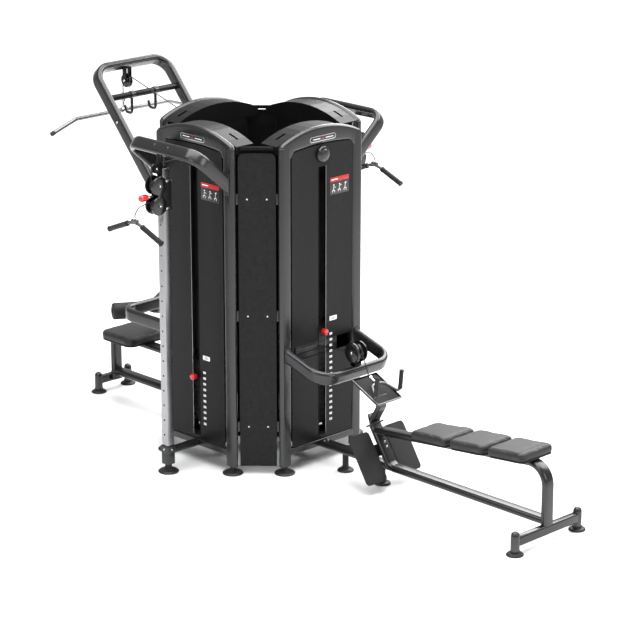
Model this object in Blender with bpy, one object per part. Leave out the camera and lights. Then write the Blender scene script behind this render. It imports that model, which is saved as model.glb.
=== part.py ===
"""Multi station home gym: four weight-stack towers around one core, with a seated row bench,
a lat pull-down seat and two height-adjustable cable columns.

Metres, +Z up.  The origin is on the floor at the core's centre.  The row bench reaches out along
+X, the lat seat along -X and the two cable columns along -Y and +Y.  Every station is modelled in
its own frame, in which it reaches out along +X, and is then turned about the core's axis.
"""

import math

import bmesh
import bpy
from mathutils import Matrix, Vector

# ---- Driving dimensions ------------------------------------------------------------------------
GAP = 0.0003                 # clearance between faces that touch
RUNNING_GAP = 0.0015         # clearance round a piece that slides or turns
CABLE_GAP = 0.0012           # clearance between a cable and the groove or eye that it meets

TUBE_WIDE = 0.080            # flat-oval frame tube, across its flat faces' length
TUBE_THIN = 0.040            # the same tube, between its flat faces
TOWER_HEIGHT = 1.930         # floor to the ends of a tower's arched head
TOWER_ARCH_RISE = 0.075      # how far the middle of the head stands above its ends
UPRIGHT_SPREAD = 0.281       # upright's centre from the tower's centre line
UPRIGHT_OUT = 0.496          # upright's centre from the core's axis
BEAM_TOP = 0.145             # top of every floor-level beam
BEAM_TALL = 0.040

FOOT_RADIUS = 0.060
SMALL_FOOT_RADIUS = 0.048
FOOT_THICK = 0.012

COVER_THICK = 0.003
COVER_OUT = 0.509            # the cover's back face from the core's axis
SLOT_WIDE = 0.056
SLOT_LOW = 0.172
SLOT_HIGH = 1.770
BAND_LOW = 0.667             # opening across the row tower's cover
BAND_HIGH = 0.746
HOOD_DEEP = 0.130
HOOD_WALL = 0.003
CORNER_PANEL_WIDE = 0.210
CORNER_PANEL_THICK = 0.004
CORNER_PANEL_HIGH = 1.890

ROD_RADIUS = 0.010
ROD_SPREAD = 0.125
STACK_OUT = 0.415            # weight stack's centre from the core's axis
PLATE_WIDE = 0.330
PLATE_DEEP = 0.100
PLATE_PITCH = 0.0346
PLATE_SEAM = 0.004           # gap that shows between two plates' edges
PLATE_SEAM_DEEP = 0.006
STACK_LOW = 0.235            # underside of the lowest plate
ROW_PLATES = 16
CABLE_PLATES = 10
CABLE_LIFTED = 2             # plates above the pin at the cable towers
PIN_RADIUS = 0.004
KNOB_RADIUS = 0.019
KNOB_LONG = 0.036

BOOM_REACH = 0.737           # column's centre from the core's axis
BOOM_LOW = 1.715             # boom's centre line where it meets the uprights
BOOM_ANGLE = math.radians(41)
BOOM_BEND = 0.085
COLUMN_SIZE = 0.050
COLUMN_WALL = 0.003
COLUMN_HOLE_RADIUS = 0.006
COLUMN_HOLE_PITCH = 0.0888
COLUMN_HOLE_FIRST = 0.230
COLUMN_HOLES = 18
COLUMN_BASE = 0.150
CARRIAGE_HOLE = 16           # the hole, counted from the lowest, that the carriage is parked at
CARRIAGE_Z = COLUMN_HOLE_FIRST + CARRIAGE_HOLE * COLUMN_HOLE_PITCH
CARRIAGE_TALL = 0.180
LOCK_PIN_RADIUS = 0.005
LOCK_KNOB_OUT = 0.118        # knob's near end from the column's centre
HEAD_PULLEY_RADIUS = 0.054
HEAD_PULLEY_OUT = 0.056      # the paired pulleys' axles from the column's centre
HEAD_PULLEY_SPREAD = 0.057   # each axle above or below the carriage's middle
CABLE_BAR_DROP = 0.115       # the short bar's eye under the carriage's middle
CABLE_BAR_OUT = 0.950
CABLE_RADIUS = 0.003
BAR_RADIUS = 0.0125
GRIP_RADIUS = 0.0165

ROW_BAR_Z = 0.712            # row U-bar's centre line where it meets the uprights
ROW_BAR_FRONT = 0.795
ROW_BAR_ANGLE = math.radians(-17.5)
ROW_BAR_BEND = 0.110
ROW_PULLEY = (0.786, 0.0, 0.737)
ROW_PULLEY_RADIUS = 0.060
ROW_HUB_RADIUS = 0.008
TRAY_BACK = (0.845, 0.600)
TRAY_FRONT = (1.052, 0.502)
TRAY_WIDE = 0.200
LEG_TOP = (0.940, 0.340)
LEG_BOTTOM = (1.078, 0.125)
BENCH_REAR = 2.220
BENCH_BEAM_REAR_Z = 0.443
BENCH_BEAM_FRONT = (0.962, 0.314)
BENCH_BEND = 0.110
REAR_FEET_SPREAD = 0.255
PAD_FRONT = 1.300
PAD_SEAMS = (1.605, 1.880)
PAD_REAR = 2.165
PAD_WIDE = 0.280
PAD_THICK = 0.046
PAD_SEAM = 0.010
FOOT_PLATE_IN = 0.060
FOOT_PLATE_WIDE = 0.160
FOOT_PLATE_LONG = 0.296
ROW_GRIP_SPREAD = 0.098
ROW_GRIP_TALL = 0.130

HOOP_LOW = 1.385             # lat hoop's centre line where it meets the uprights
HOOP_FRONT = 1.150
HOOP_ANGLE = math.radians(49)
HOOP_BEND = 0.100
HOOP_CROSS = 1.015            # round cross tube, from the core's axis
HOOK_SPREAD = 0.093
HOOK_LOW = 1.845
LAT_BAR_OUT = 1.205
LAT_BAR_Z = 1.822
LAT_BAR_HALF = 0.370
LAT_BAR_END = (0.190, -0.062)
LAT_PULLEY_RADIUS = 0.042
SEAT_POST = 1.330
SEAT_FEET_SPREAD = 0.120
SEAT_FEET_OUT = 1.365
SEAT_BEAM_TOP = 0.385
SEAT_SIZE = (0.320, 0.380, 0.060)
SEAT_CENTRE = (1.130, 0.0)
THIGH_BAR_Z = 0.655
THIGH_BAR_FRONT = 0.930
ROLLER_RADIUS = 0.052
ROLLER_LONG = 0.210
ROLLER_TURN = math.radians(32)

ROW, NORTH, LAT, SOUTH = (math.radians(turn) for turn in (0, 90, 180, 270))
STATIONS = {"row": ROW, "north": NORTH, "lat": LAT, "south": SOUTH}
CABLE_STATIONS = {"north": NORTH, "south": SOUTH}

UPRIGHT_FACE = UPRIGHT_OUT + TUBE_THIN / 2
UPRIGHT_BACK = UPRIGHT_OUT - TUBE_THIN / 2
UPRIGHT_INNER = UPRIGHT_SPREAD - TUBE_WIDE / 2
UPRIGHT_OUTER = UPRIGHT_SPREAD + TUBE_WIDE / 2
BEAM_MIDDLE = BEAM_TOP - BEAM_TALL / 2


# ---- Finishes ----------------------------------------------------------------------------------
def finish(name, colour, roughness, metallic):
    """A Principled material."""
    material = bpy.data.materials.new(name)
    material.use_nodes = True
    shader = material.node_tree.nodes["Principled BSDF"]
    shader.inputs["Base Color"].default_value = (*colour, 1.0)
    shader.inputs["Roughness"].default_value = roughness
    shader.inputs["Metallic"].default_value = metallic
    material.diffuse_color = (*colour, 1.0)
    return material


# ---- Solids ------------------------------------------------------------------------------------
def stadium(wide, thin, steps=4):
    """A flat oval as (across, along) points, wide in the first axis."""
    radius = thin / 2
    points = []
    for side, start in ((1, -90), (-1, 90)):
        for step in range(steps + 1):
            angle = math.radians(start + 180 * step / steps)
            points.append((side * (wide / 2 - radius) + radius * math.cos(angle), radius * math.sin(angle)))
    return points


def circle(radius, sides=12):
    """A round section."""
    turns = [2 * math.pi * step / sides for step in range(sides)]
    return [(radius * math.cos(turn), radius * math.sin(turn)) for turn in turns]


def rectangle(wide, tall, corner=0.006, steps=2):
    """A rectangle with rounded corners."""
    points = []
    for x_sign, y_sign, start in ((1, 1, 0), (-1, 1, 90), (-1, -1, 180), (1, -1, 270)):
        for step in range(steps + 1):
            angle = math.radians(start + 90 * step / steps)
            points.append((
                x_sign * (wide / 2 - corner) + corner * math.cos(angle),
                y_sign * (tall / 2 - corner) + corner * math.sin(angle),
            ))
    return points


def rounded_path(corners, radius, steps=6):
    """The corner points joined by straight runs, with each inner corner turned on an arc."""
    corners = [Vector(corner) for corner in corners]
    path = [corners[0]]
    for before, corner, after in zip(corners, corners[1:], corners[2:]):
        entry = (before - corner).normalized()
        leave = (after - corner).normalized()
        half = entry.angle(leave) / 2
        centre = corner + (entry + leave).normalized() * radius / math.sin(half)
        start = corner + entry * radius / math.tan(half)
        spoke = start - centre
        axis = entry.cross(leave).normalized()
        sweep = -(math.pi - 2 * half)
        path += [centre + Matrix.Rotation(sweep * step / steps, 3, axis) @ spoke for step in range(steps + 1)]
    path.append(corners[-1])
    return path


def swept(path, section, across):
    """The section carried along a flat path; its first axis stays along `across`."""
    path = [Vector(point) for point in path]
    across = Vector(across).normalized()
    bm = bmesh.new()
    rings = []
    for index, point in enumerate(path):
        before = (point - path[index - 1]).normalized() if index else None
        after = (path[index + 1] - point).normalized() if index + 1 < len(path) else None
        ahead = ((before or after) + (after or before)).normalized()
        stretch = 1 / max(0.2, ahead.dot(after or before))
        up = ahead.cross(across).normalized() * stretch
        rings.append([bm.verts.new(point + across * u + up * v) for u, v in section])
    for ring, following in zip(rings, rings[1:]):
        for index in range(len(section)):
            nearby = (index + 1) % len(section)
            bm.faces.new((ring[index], ring[nearby], following[nearby], following[index]))
    bm.faces.new(rings[0][::-1])
    bm.faces.new(rings[-1])
    bmesh.ops.recalc_face_normals(bm, faces=bm.faces)
    return bm


def box(low, high):
    """A box between two corners."""
    low, high = Vector(low), Vector(high)
    bm = bmesh.new()
    size = Matrix.Diagonal((*(high - low), 1.0))
    bmesh.ops.create_cube(bm, size=1.0, matrix=Matrix.Translation((low + high) / 2) @ size)
    return bm


def rod(start, end, radius, sides=14):
    """A cylinder between two points."""
    start, end = Vector(start), Vector(end)
    bm = bmesh.new()
    turn = (end - start).to_track_quat("Z", "Y").to_matrix().to_4x4()
    bmesh.ops.create_cone(
        bm, cap_ends=True, segments=sides, radius1=radius, radius2=radius,
        depth=(end - start).length, matrix=Matrix.Translation((start + end) / 2) @ turn,
    )
    return bm


def turned(profile, centre, axis, sides=16):
    """A solid of revolution: (radius, height) points spun round an axis through centre."""
    bm = bmesh.new()
    verts = [bm.verts.new((radius, 0, height)) for radius, height in profile]
    edges = [bm.edges.new(pair) for pair in zip(verts, verts[1:])]
    bmesh.ops.spin(
        bm, geom=verts + edges, angle=2 * math.pi, steps=sides, axis=(0, 0, 1), cent=(0, 0, 0), use_merge=True,
    )
    bmesh.ops.remove_doubles(bm, verts=bm.verts, dist=1e-5)
    bmesh.ops.recalc_face_normals(bm, faces=bm.faces)
    turn = Vector(axis).to_track_quat("Z", "Y").to_matrix().to_4x4()
    bmesh.ops.transform(bm, matrix=Matrix.Translation(centre) @ turn, verts=bm.verts)
    return bm


def slab(outline, start, end, plane="YZ"):
    """A flat outline pushed from start to end along the axis that the plane leaves out."""
    bm = bmesh.new()
    order = {"YZ": (2, 0, 1), "XZ": (0, 2, 1), "XY": (0, 1, 2)}[plane]
    points = [(u, v, start) for u, v in outline]
    verts = [bm.verts.new([point[index] for index in order]) for point in points]
    face = bm.faces.new(verts)
    pushed = bmesh.ops.extrude_face_region(bm, geom=[face])["geom"]
    way = Vector([(0, 0, end - start)[index] for index in order])
    bmesh.ops.translate(bm, verts=[item for item in pushed if isinstance(item, bmesh.types.BMVert)], vec=way)
    bmesh.ops.recalc_face_normals(bm, faces=bm.faces)
    return bm


def foot(x, y, radius, top, stem=0.016):
    """A levelling foot: a rubber disc on the floor with a short stem up into its post."""
    profile = [
        (0, 0), (radius, 0), (radius, FOOT_THICK * 0.6), (radius * 0.75, FOOT_THICK),
        (stem, FOOT_THICK), (stem, top), (0, top),
    ]
    return turned(profile, (x, y, 0), (0, 0, 1), sides=12)


def fused(add, cut=()):
    """One closed mesh: the first solid joined with the others, less the cutters."""
    solids = []
    for index, bm in enumerate([*add, *cut]):
        mesh = bpy.data.meshes.new(f"solid_{index}")
        bmesh.ops.triangulate(bm, faces=[face for face in bm.faces if len(face.verts) > 4])
        bm.to_mesh(mesh)
        bm.free()
        solid = bpy.data.objects.new(f"solid_{index}", mesh)
        bpy.context.scene.collection.objects.link(solid)
        solids.append(solid)
    body = solids[0]
    for index, other in enumerate(solids[1:], start=1):
        step = body.modifiers.new("step", "BOOLEAN")
        step.operation = "UNION" if index < len(add) else "DIFFERENCE"
        step.solver = "EXACT"
        step.object = other
    bpy.context.view_layer.update()
    mesh = bpy.data.meshes.new_from_object(body.evaluated_get(bpy.context.evaluated_depsgraph_get()))
    for solid in solids:
        spare = solid.data
        bpy.data.objects.remove(solid)
        bpy.data.meshes.remove(spare)
    mesh.shade_smooth()
    mesh.set_sharp_from_angle(angle=math.radians(32))
    return mesh


def place(name, mesh, material, turn=0.0, pivot=(0, 0, 0)):
    """One named sub-part, turned to its station, with its origin on its pivot."""
    pivot = Vector(pivot)
    if not mesh.get("centred"):
        mesh.transform(Matrix.Translation(-pivot))
        mesh["centred"] = True
        mesh.materials.clear()
        mesh.materials.append(material)
    piece = bpy.data.objects.new(name, mesh)
    piece.location = Matrix.Rotation(turn, 3, "Z") @ pivot
    piece.rotation_euler = (0, 0, turn)
    bpy.context.scene.collection.objects.link(piece)
    return piece


# ---- Towers ------------------------------------------------------------------------------------
def arch(half, base, rise, steps=10):
    """Points along a shallow arc from -half to +half, rise above base at its middle."""
    radius = (half * half + rise * rise) / (2 * rise)
    points = []
    for step in range(steps + 1):
        across = -half + 2 * half * step / steps
        points.append((across, base + rise - radius + math.sqrt(radius * radius - across * across)))
    return points


def tower_frame():
    """Two flat-oval uprights under an arched head, a floor-level crossbar and two feet."""
    section = stadium(TUBE_WIDE, TUBE_THIN)
    head_thick = TUBE_THIN - 0.001
    solids = []
    for side in (-1, 1):
        y = side * UPRIGHT_SPREAD
        solids.append(swept([(UPRIGHT_OUT, y, 0.045), (UPRIGHT_OUT, y, TOWER_HEIGHT - 0.03)], section, (0, 1, 0)))
    inner = arch(UPRIGHT_INNER + 0.02, TOWER_HEIGHT - 0.045, 0.018)
    outer = arch(UPRIGHT_OUTER - 0.003, TOWER_HEIGHT, TOWER_ARCH_RISE)
    outline = [(-UPRIGHT_OUTER + 0.003, TOWER_HEIGHT - 0.075), *outer, (UPRIGHT_OUTER - 0.003, TOWER_HEIGHT - 0.075),
               (UPRIGHT_INNER + 0.02, TOWER_HEIGHT - 0.075), *reversed(inner),
               (-UPRIGHT_INNER - 0.02, TOWER_HEIGHT - 0.075)]
    solids.append(slab(outline, UPRIGHT_OUT - head_thick / 2, UPRIGHT_OUT + head_thick / 2))
    reach = UPRIGHT_INNER + 0.03
    crossbar = rectangle(TUBE_THIN - 0.001, BEAM_TALL, 0.006)
    solids.append(swept([(UPRIGHT_OUT, -reach, BEAM_MIDDLE), (UPRIGHT_OUT, reach, BEAM_MIDDLE)], crossbar, (1, 0, 0)))
    for side in (-1, 1):
        solids.append(foot(UPRIGHT_OUT - 0.004, side * UPRIGHT_SPREAD, FOOT_RADIUS, 0.06))
    return fused(solids)


def hood():
    """A shallow arched box behind the head, open underneath, with a slot near each end."""
    half = UPRIGHT_OUTER - 0.006
    low = TOWER_HEIGHT - 0.052
    back = UPRIGHT_BACK - GAP - HOOD_DEEP
    front = UPRIGHT_BACK - GAP
    outside = [(-half, low), *arch(half, TOWER_HEIGHT - 0.004, TOWER_ARCH_RISE - 0.004), (half, low)]
    inside = [(-half + HOOD_WALL, low - 0.01),
              *arch(half - HOOD_WALL, TOWER_HEIGHT - 0.004 - HOOD_WALL, TOWER_ARCH_RISE - 0.004),
              (half - HOOD_WALL, low - 0.01)]
    middle = (back + front) / 2
    slots = [box((middle - 0.008, side * 0.225 - 0.035, TOWER_HEIGHT), (middle + 0.008, side * 0.225 + 0.035, 2.1))
             for side in (-1, 1)]
    return fused([slab(outside, back, front)], [slab(inside, back + HOOD_WALL, front - HOOD_WALL), *slots])


def front_cover(band):
    """The dark sheet between the uprights, with the pin's slot and, if asked, the row cable's band."""
    half = UPRIGHT_INNER - 0.002
    top = arch(half, TOWER_HEIGHT - 0.048, 0.016)
    outline = [(-half, BEAM_TOP + 0.004), *top, (half, BEAM_TOP + 0.004)]
    near, far = COVER_OUT - 0.01, COVER_OUT + 0.02
    cutters = [box((near, -SLOT_WIDE / 2, SLOT_LOW), (far, SLOT_WIDE / 2, SLOT_HIGH))]
    if band:
        cutters.append(box((near, -half + 0.012, BAND_LOW), (far, half - 0.012, BAND_HIGH)))
    return fused([slab(outline, COVER_OUT, COVER_OUT + COVER_THICK)], cutters)


def corner_panel():
    """The 45 degree sheet that closes the corner between two towers, with rounded top corners."""
    half = CORNER_PANEL_WIDE / 2
    corner_line = (UPRIGHT_BACK + UPRIGHT_OUTER) / math.sqrt(2)
    outline = [(-half, 0.050), (half, 0.050)]
    radius = 0.030
    for side, start in ((1, 0), (-1, 90)):
        for step in range(5):
            angle = math.radians(start + 90 * step / 4)
            outline.append((
                side * (half - radius) + radius * math.cos(angle),
                CORNER_PANEL_HIGH - radius + radius * math.sin(angle),
            ))
    return fused([slab(outline, corner_line - CORNER_PANEL_THICK, corner_line)])


def stack_top(plates):
    """Top face of a stack of that many plates."""
    return STACK_LOW + plates * PLATE_PITCH


def weight_stack(plates):
    """The resting plates on their two guide rods, on a foot plate across the core's beams."""
    solids = [box((STACK_OUT - 0.045, -PLATE_WIDE / 2, BEAM_TOP + GAP), (STACK_OUT + 0.045, PLATE_WIDE / 2, 0.165))]
    half_deep, half_wide = PLATE_DEEP / 2, PLATE_WIDE / 2
    for index in range(plates):
        low = STACK_LOW + index * PLATE_PITCH
        solids.append(box((STACK_OUT - half_deep, -half_wide, low),
                          (STACK_OUT + half_deep, half_wide, low + PLATE_PITCH - PLATE_SEAM)))
    core_deep, core_wide = half_deep - PLATE_SEAM_DEEP, half_wide - PLATE_SEAM_DEEP
    solids.append(box((STACK_OUT - core_deep, -core_wide, STACK_LOW + 0.005),
                      (STACK_OUT + core_deep, core_wide, stack_top(plates) - PLATE_SEAM - 0.005)))
    for side in (-1, 1):
        y = side * ROD_SPREAD
        solids.append(rod((STACK_OUT, y, 0.155), (STACK_OUT, y, TOWER_HEIGHT - 0.06), ROD_RADIUS, 10))
        solids.append(rod((STACK_OUT, y, 0.155), (STACK_OUT, y, STACK_LOW + 0.01), 0.022, 10))
    return fused(solids)


def lifted_plates(plates, lifted, pin_z):
    """The head plate and the plates above the pin, with rod bushes, a stem and the pin's hole."""
    low = stack_top(plates - lifted) + GAP
    high = stack_top(plates) + 0.024
    half_deep, half_wide = PLATE_DEEP / 2, PLATE_WIDE / 2
    solids = [
        box((STACK_OUT - half_deep, -half_wide, low), (STACK_OUT + half_deep, half_wide, high)),
        rod((STACK_OUT, 0, high - 0.005), (STACK_OUT, 0, high + 0.070), 0.011, 12),
    ]
    cutters = []
    for side in (-1, 1):
        y = side * ROD_SPREAD
        solids.append(rod((STACK_OUT, y, high - 0.005), (STACK_OUT, y, high + 0.035), 0.019, 12))
        cutters.append(rod((STACK_OUT, y, low - 0.01), (STACK_OUT, y, high + 0.05), ROD_RADIUS + RUNNING_GAP, 12))
    hole = PIN_RADIUS + RUNNING_GAP
    cutters.append(rod((STACK_OUT - 0.03, 0, pin_z), (STACK_OUT + 0.1, 0, pin_z), hole, 10))
    for index in range(plates - lifted + 1, plates + 1):
        seam = STACK_LOW + index * PLATE_PITCH
        for side in (-1, 1):
            x = STACK_OUT + side * half_deep
            cutters.append(box((x - PLATE_SEAM_DEEP, -half_wide - 0.01, seam - PLATE_SEAM),
                               (x + PLATE_SEAM_DEEP, half_wide + 0.01, seam)))
    return fused(solids, cutters)


def selector_pin(pin_z):
    """Red knob on a plain pin that reaches into the lifted plates."""
    knob_start = COVER_OUT + 0.008
    solids = [
        rod((STACK_OUT - 0.015, 0, pin_z), (knob_start + 0.010, 0, pin_z), PIN_RADIUS, 10),
        rod((knob_start - 0.006, 0, pin_z), (knob_start + 0.006, 0, pin_z), 0.010, 12),
        turned([(0, 0), (0.013, 0), (KNOB_RADIUS, 0.010), (KNOB_RADIUS, 0.026), (0.013, KNOB_LONG), (0, KNOB_LONG)],
               (knob_start, 0, pin_z), (1, 0, 0), 14),
    ]
    return fused(solids)


def build_towers(frame_grey, cover_black, stack_grey, knob_red, steel):
    """The four towers, which differ only in their covers and stacks."""
    frame, shell, corner = tower_frame(), hood(), corner_panel()
    covers = {True: front_cover(True), False: front_cover(False)}
    kinds = {}
    for plates, lifted in ((ROW_PLATES, 0), (CABLE_PLATES, CABLE_LIFTED)):
        pin_z = stack_top(plates) + 0.012 if not lifted else stack_top(plates - lifted) + 0.016
        kinds[plates] = (weight_stack(plates - lifted), lifted_plates(plates, lifted, pin_z), selector_pin(pin_z), pin_z)
    for name, turn in STATIONS.items():
        plates = CABLE_PLATES if name in CABLE_STATIONS else ROW_PLATES
        stack, lifted, pin, pin_z = kinds[plates]
        place(f"{name}_tower_frame", frame, frame_grey, turn)
        place(f"{name}_hood", shell, cover_black, turn)
        place(f"{name}_front_cover", covers[name == "row"], cover_black, turn)
        place(f"{name}_corner_panel", corner, cover_black, turn - math.radians(45))
        place(f"{name}_weight_stack", stack, stack_grey, turn)
        place(f"{name}_lifted_plates", lifted, steel, turn, (STACK_OUT, 0, stack_top(plates)))
        place(f"{name}_selector_pin", pin, knob_red, turn, (STACK_OUT, 0, pin_z))


def core_base():
    """Two crossed floor beams that tie the four crossbars together over a central foot."""
    reach = UPRIGHT_BACK - GAP
    section = rectangle(TUBE_WIDE, BEAM_TALL, 0.008)
    return fused([
        swept([(-reach, 0, BEAM_MIDDLE), (reach, 0, BEAM_MIDDLE)], section, (0, 1, 0)),
        swept([(0, -reach, BEAM_MIDDLE), (0, reach, BEAM_MIDDLE)], section, (1, 0, 0)),
        foot(0, 0, FOOT_RADIUS, BEAM_TOP - 0.01, stem=0.025),
    ])


# ---- Flat-oval U-bars on the towers ------------------------------------------------------------
def u_bar(start_z, front, angle, bend, section_wide=TUBE_WIDE):
    """A U of flat-oval tube from both uprights out to a cross member, in a tilted plane."""
    start = UPRIGHT_FACE - 0.005 - section_wide / 2 * abs(math.sin(angle))
    start_z -= (UPRIGHT_FACE - start) * math.tan(angle)
    reach = (front - start) / math.cos(angle)
    out = Vector((math.cos(angle), 0, math.sin(angle)))
    root = Vector((start, 0, start_z))
    left, right = Vector((0, -UPRIGHT_SPREAD, 0)), Vector((0, UPRIGHT_SPREAD, 0))
    path = rounded_path([root + left, root + out * reach + left, root + out * reach + right, root + right], bend, 5)
    normal = Vector((-math.sin(angle), 0, math.cos(angle)))
    return swept(path, stadium(section_wide, TUBE_THIN), normal)


def upright_side():
    """Everything behind the uprights' outer faces, which trims a U-bar's ends flush."""
    return box((0.3, -0.5, 0.2), (UPRIGHT_FACE + GAP, 0.5, 2.4))


def u_bar_flanges(start_z, angle):
    """The plates that bolt a U-bar's two ends to the uprights."""
    tall = TUBE_WIDE / math.cos(angle) / 2
    flanges = []
    for side in (-1, 1):
        y = side * UPRIGHT_SPREAD
        flanges.append(box(
            (UPRIGHT_FACE + GAP, y - 0.022, start_z - tall - 0.010),
            (UPRIGHT_FACE + GAP + 0.006, y + 0.022, start_z + tall + 0.010),
        ))
    return flanges


def sheave(centre, axis, groove_radius, rim_radius, half_width, sides=12):
    """A grooved cable wheel."""
    profile = [(0, -half_width), (rim_radius, -half_width), (groove_radius, -half_width * 0.25),
               (groove_radius, half_width * 0.25), (rim_radius, half_width), (0, half_width)]
    return turned(profile, centre, axis, sides)


# ---- Row station -------------------------------------------------------------------------------
def row_u_bar():
    """The sloping U-bar with a fork on its cross member that carries the row pulley."""
    fork = []
    x, _, z = ROW_PULLEY
    for side in (-1, 1):
        fork.append(box((x - 0.020, side * 0.0215 - 0.0025, 0.655), (x + 0.018, side * 0.0215 + 0.0025, z + 0.015)))
    fork.append(box((x - 0.022, -0.024, 0.655), (x + 0.020, 0.024, 0.6745)))
    bar = u_bar(ROW_BAR_Z, ROW_BAR_FRONT, ROW_BAR_ANGLE, ROW_BAR_BEND)
    bore = rod((x, -0.05, z), (x, 0.05, z), ROW_HUB_RADIUS + RUNNING_GAP, 12)
    return fused([bar, *u_bar_flanges(ROW_BAR_Z, ROW_BAR_ANGLE), *fork], [upright_side(), bore])


def row_pulley():
    """The pulley between two round covers, on one hub that runs in the fork."""
    x, _, z = ROW_PULLEY
    solids = [sheave(ROW_PULLEY, (0, 1, 0), 0.042, 0.050, 0.010)]
    solids.append(rod((x, -0.030, z), (x, 0.030, z), ROW_HUB_RADIUS, 12))
    for side in (-1, 1):
        cover = [(0, 0), (ROW_PULLEY_RADIUS, 0), (ROW_PULLEY_RADIUS, 0.004), (0.048, 0.012), (0, 0.014)]
        solids.append(turned(cover, (x, side * 0.0265, z), (0, side, 0), 20))
    return fused(solids)


def tray_frame():
    """Unit vectors along the tray's slope and out of its face."""
    slope = (Vector((TRAY_FRONT[0], 0, TRAY_FRONT[1])) - Vector((TRAY_BACK[0], 0, TRAY_BACK[1]))).normalized()
    return slope, Vector((-slope.z, 0, slope.x))


def row_tray():
    """The handle tray, a lipped sheet, on a curved flat-oval post down to the bench."""
    slope, normal = tray_frame()
    back, front = Vector((TRAY_BACK[0], 0, TRAY_BACK[1])), Vector((TRAY_FRONT[0], 0, TRAY_FRONT[1]))
    wall, floor, tall = 0.004, 0.004, 0.014
    raised = normal * (tall / 2 - floor / 2)
    sheet = swept([back + raised, front + raised], rectangle(TRAY_WIDE, tall, 0.002, 1), (0, 1, 0))
    lift = normal * (floor / 2 + 0.010)
    pocket = swept([back + slope * wall + lift, front - slope * wall + lift],
                   rectangle(TRAY_WIDE - 2 * wall, 0.020, 0.002, 1), (0, 1, 0))
    under = back + (front - back) * 0.68
    leg_way = (Vector((LEG_BOTTOM[0], 0, LEG_BOTTOM[1])) - Vector((LEG_TOP[0], 0, LEG_TOP[1]))).normalized()
    clamp = Vector((LEG_TOP[0], 0, LEG_TOP[1])) - leg_way * (GAP + 0.001)
    corners = [under, under - Vector((0, 0, 0.075)), clamp - leg_way * 0.022, clamp]
    post = swept(rounded_path(corners[:3], 0.06, 5) + [clamp], stadium(0.074, 0.030), (0, 1, 0))
    plate = swept([clamp - leg_way * 0.010, clamp], rectangle(0.100, 0.060, 0.006), (0, 1, 0))
    return fused([sheet, post, plate], [pocket])


def bench_frame():
    """Base beam, slanted front leg, long bottom beam, seat beam, rear leg and rear foot bar."""
    section = stadium(TUBE_WIDE, TUBE_THIN)
    leg_top = (LEG_TOP[0], 0, LEG_TOP[1])
    leg_bottom = (LEG_BOTTOM[0], 0, LEG_BOTTOM[1])
    rear = (BENCH_REAR, 0, BEAM_MIDDLE)
    lower = swept(rounded_path([leg_top, leg_bottom, rear], 0.055), section, (0, 1, 0))
    front = (BENCH_BEAM_FRONT[0], 0, BENCH_BEAM_FRONT[1])
    corner = (BENCH_REAR, 0, BENCH_BEAM_REAR_Z)
    upper = swept(rounded_path([front, corner, (BENCH_REAR, 0, 0.070)], BENCH_BEND),
                  stadium(TUBE_WIDE - 0.001, TUBE_THIN - 0.001), (0, 1, 0))
    base = swept([(UPRIGHT_FACE + GAP, 0, BEAM_MIDDLE), (LEG_BOTTOM[0] + 0.02, 0, BEAM_MIDDLE)],
                 stadium(TUBE_WIDE - 0.002, TUBE_THIN - 0.002), (0, 1, 0))
    foot_bar = swept([(BENCH_REAR, -REAR_FEET_SPREAD, 0.076), (BENCH_REAR, REAR_FEET_SPREAD, 0.076)],
                     rectangle(0.042, 0.056, 0.008), (1, 0, 0))
    posts = []
    for side in (-1, 1):
        post = [(0, 0), (SMALL_FOOT_RADIUS, 0), (SMALL_FOOT_RADIUS, FOOT_THICK * 0.6), (0.034, FOOT_THICK),
                (0.025, FOOT_THICK + 0.002), (0.025, 0.108), (0.021, 0.122), (0.012, 0.130), (0, 0.132)]
        posts.append(turned(post, (BENCH_REAR, side * REAR_FEET_SPREAD, 0), (0, 0, 1), 12))
    feet = [foot(x, 0, SMALL_FOOT_RADIUS, 0.12, 0.018) for x in (0.705, 1.000)]
    return fused([lower, upper, base, foot_bar, *posts, *feet])


def leg_frame():
    """Unit vectors down the front leg and out of its user's side."""
    down = (Vector((LEG_BOTTOM[0], 0, LEG_BOTTOM[1])) - Vector((LEG_TOP[0], 0, LEG_TOP[1]))).normalized()
    return down, Vector((-down.z, 0, down.x))


def foot_plates():
    """Two rubber treads either side of the front leg, joined by a strap behind it."""
    down, out = leg_frame()
    top = Vector((LEG_TOP[0], 0, LEG_TOP[1])) + down * 0.020
    solids = []
    for side in (-1, 1):
        centre = Vector((0, side * (FOOT_PLATE_IN + FOOT_PLATE_WIDE / 2), 0)) - out * 0.016
        path = [top + centre, top + centre + down * FOOT_PLATE_LONG]
        tread = swept(path, rectangle(FOOT_PLATE_WIDE, 0.014, 0.003, 1), (0, 1, 0))
        solids.append(tread)
    strap_top = top + down * 0.085 - out * (TUBE_THIN / 2 + GAP + 0.003)
    solids.append(swept([strap_top, strap_top + down * 0.070], rectangle(0.300, 0.006, 0.001, 1), (0, 1, 0)))
    return fused(solids)


def seat_line(x):
    """Top of the seat beam at x, along its slope."""
    share = (x - BENCH_BEAM_FRONT[0]) / (BENCH_REAR - BENCH_BEAM_FRONT[0])
    slope = (BENCH_BEAM_REAR_Z - BENCH_BEAM_FRONT[1]) / (BENCH_REAR - BENCH_BEAM_FRONT[0])
    middle = BENCH_BEAM_FRONT[1] + share * (BENCH_BEAM_REAR_Z - BENCH_BEAM_FRONT[1])
    return middle + TUBE_THIN / 2 * math.hypot(1, slope)


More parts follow.
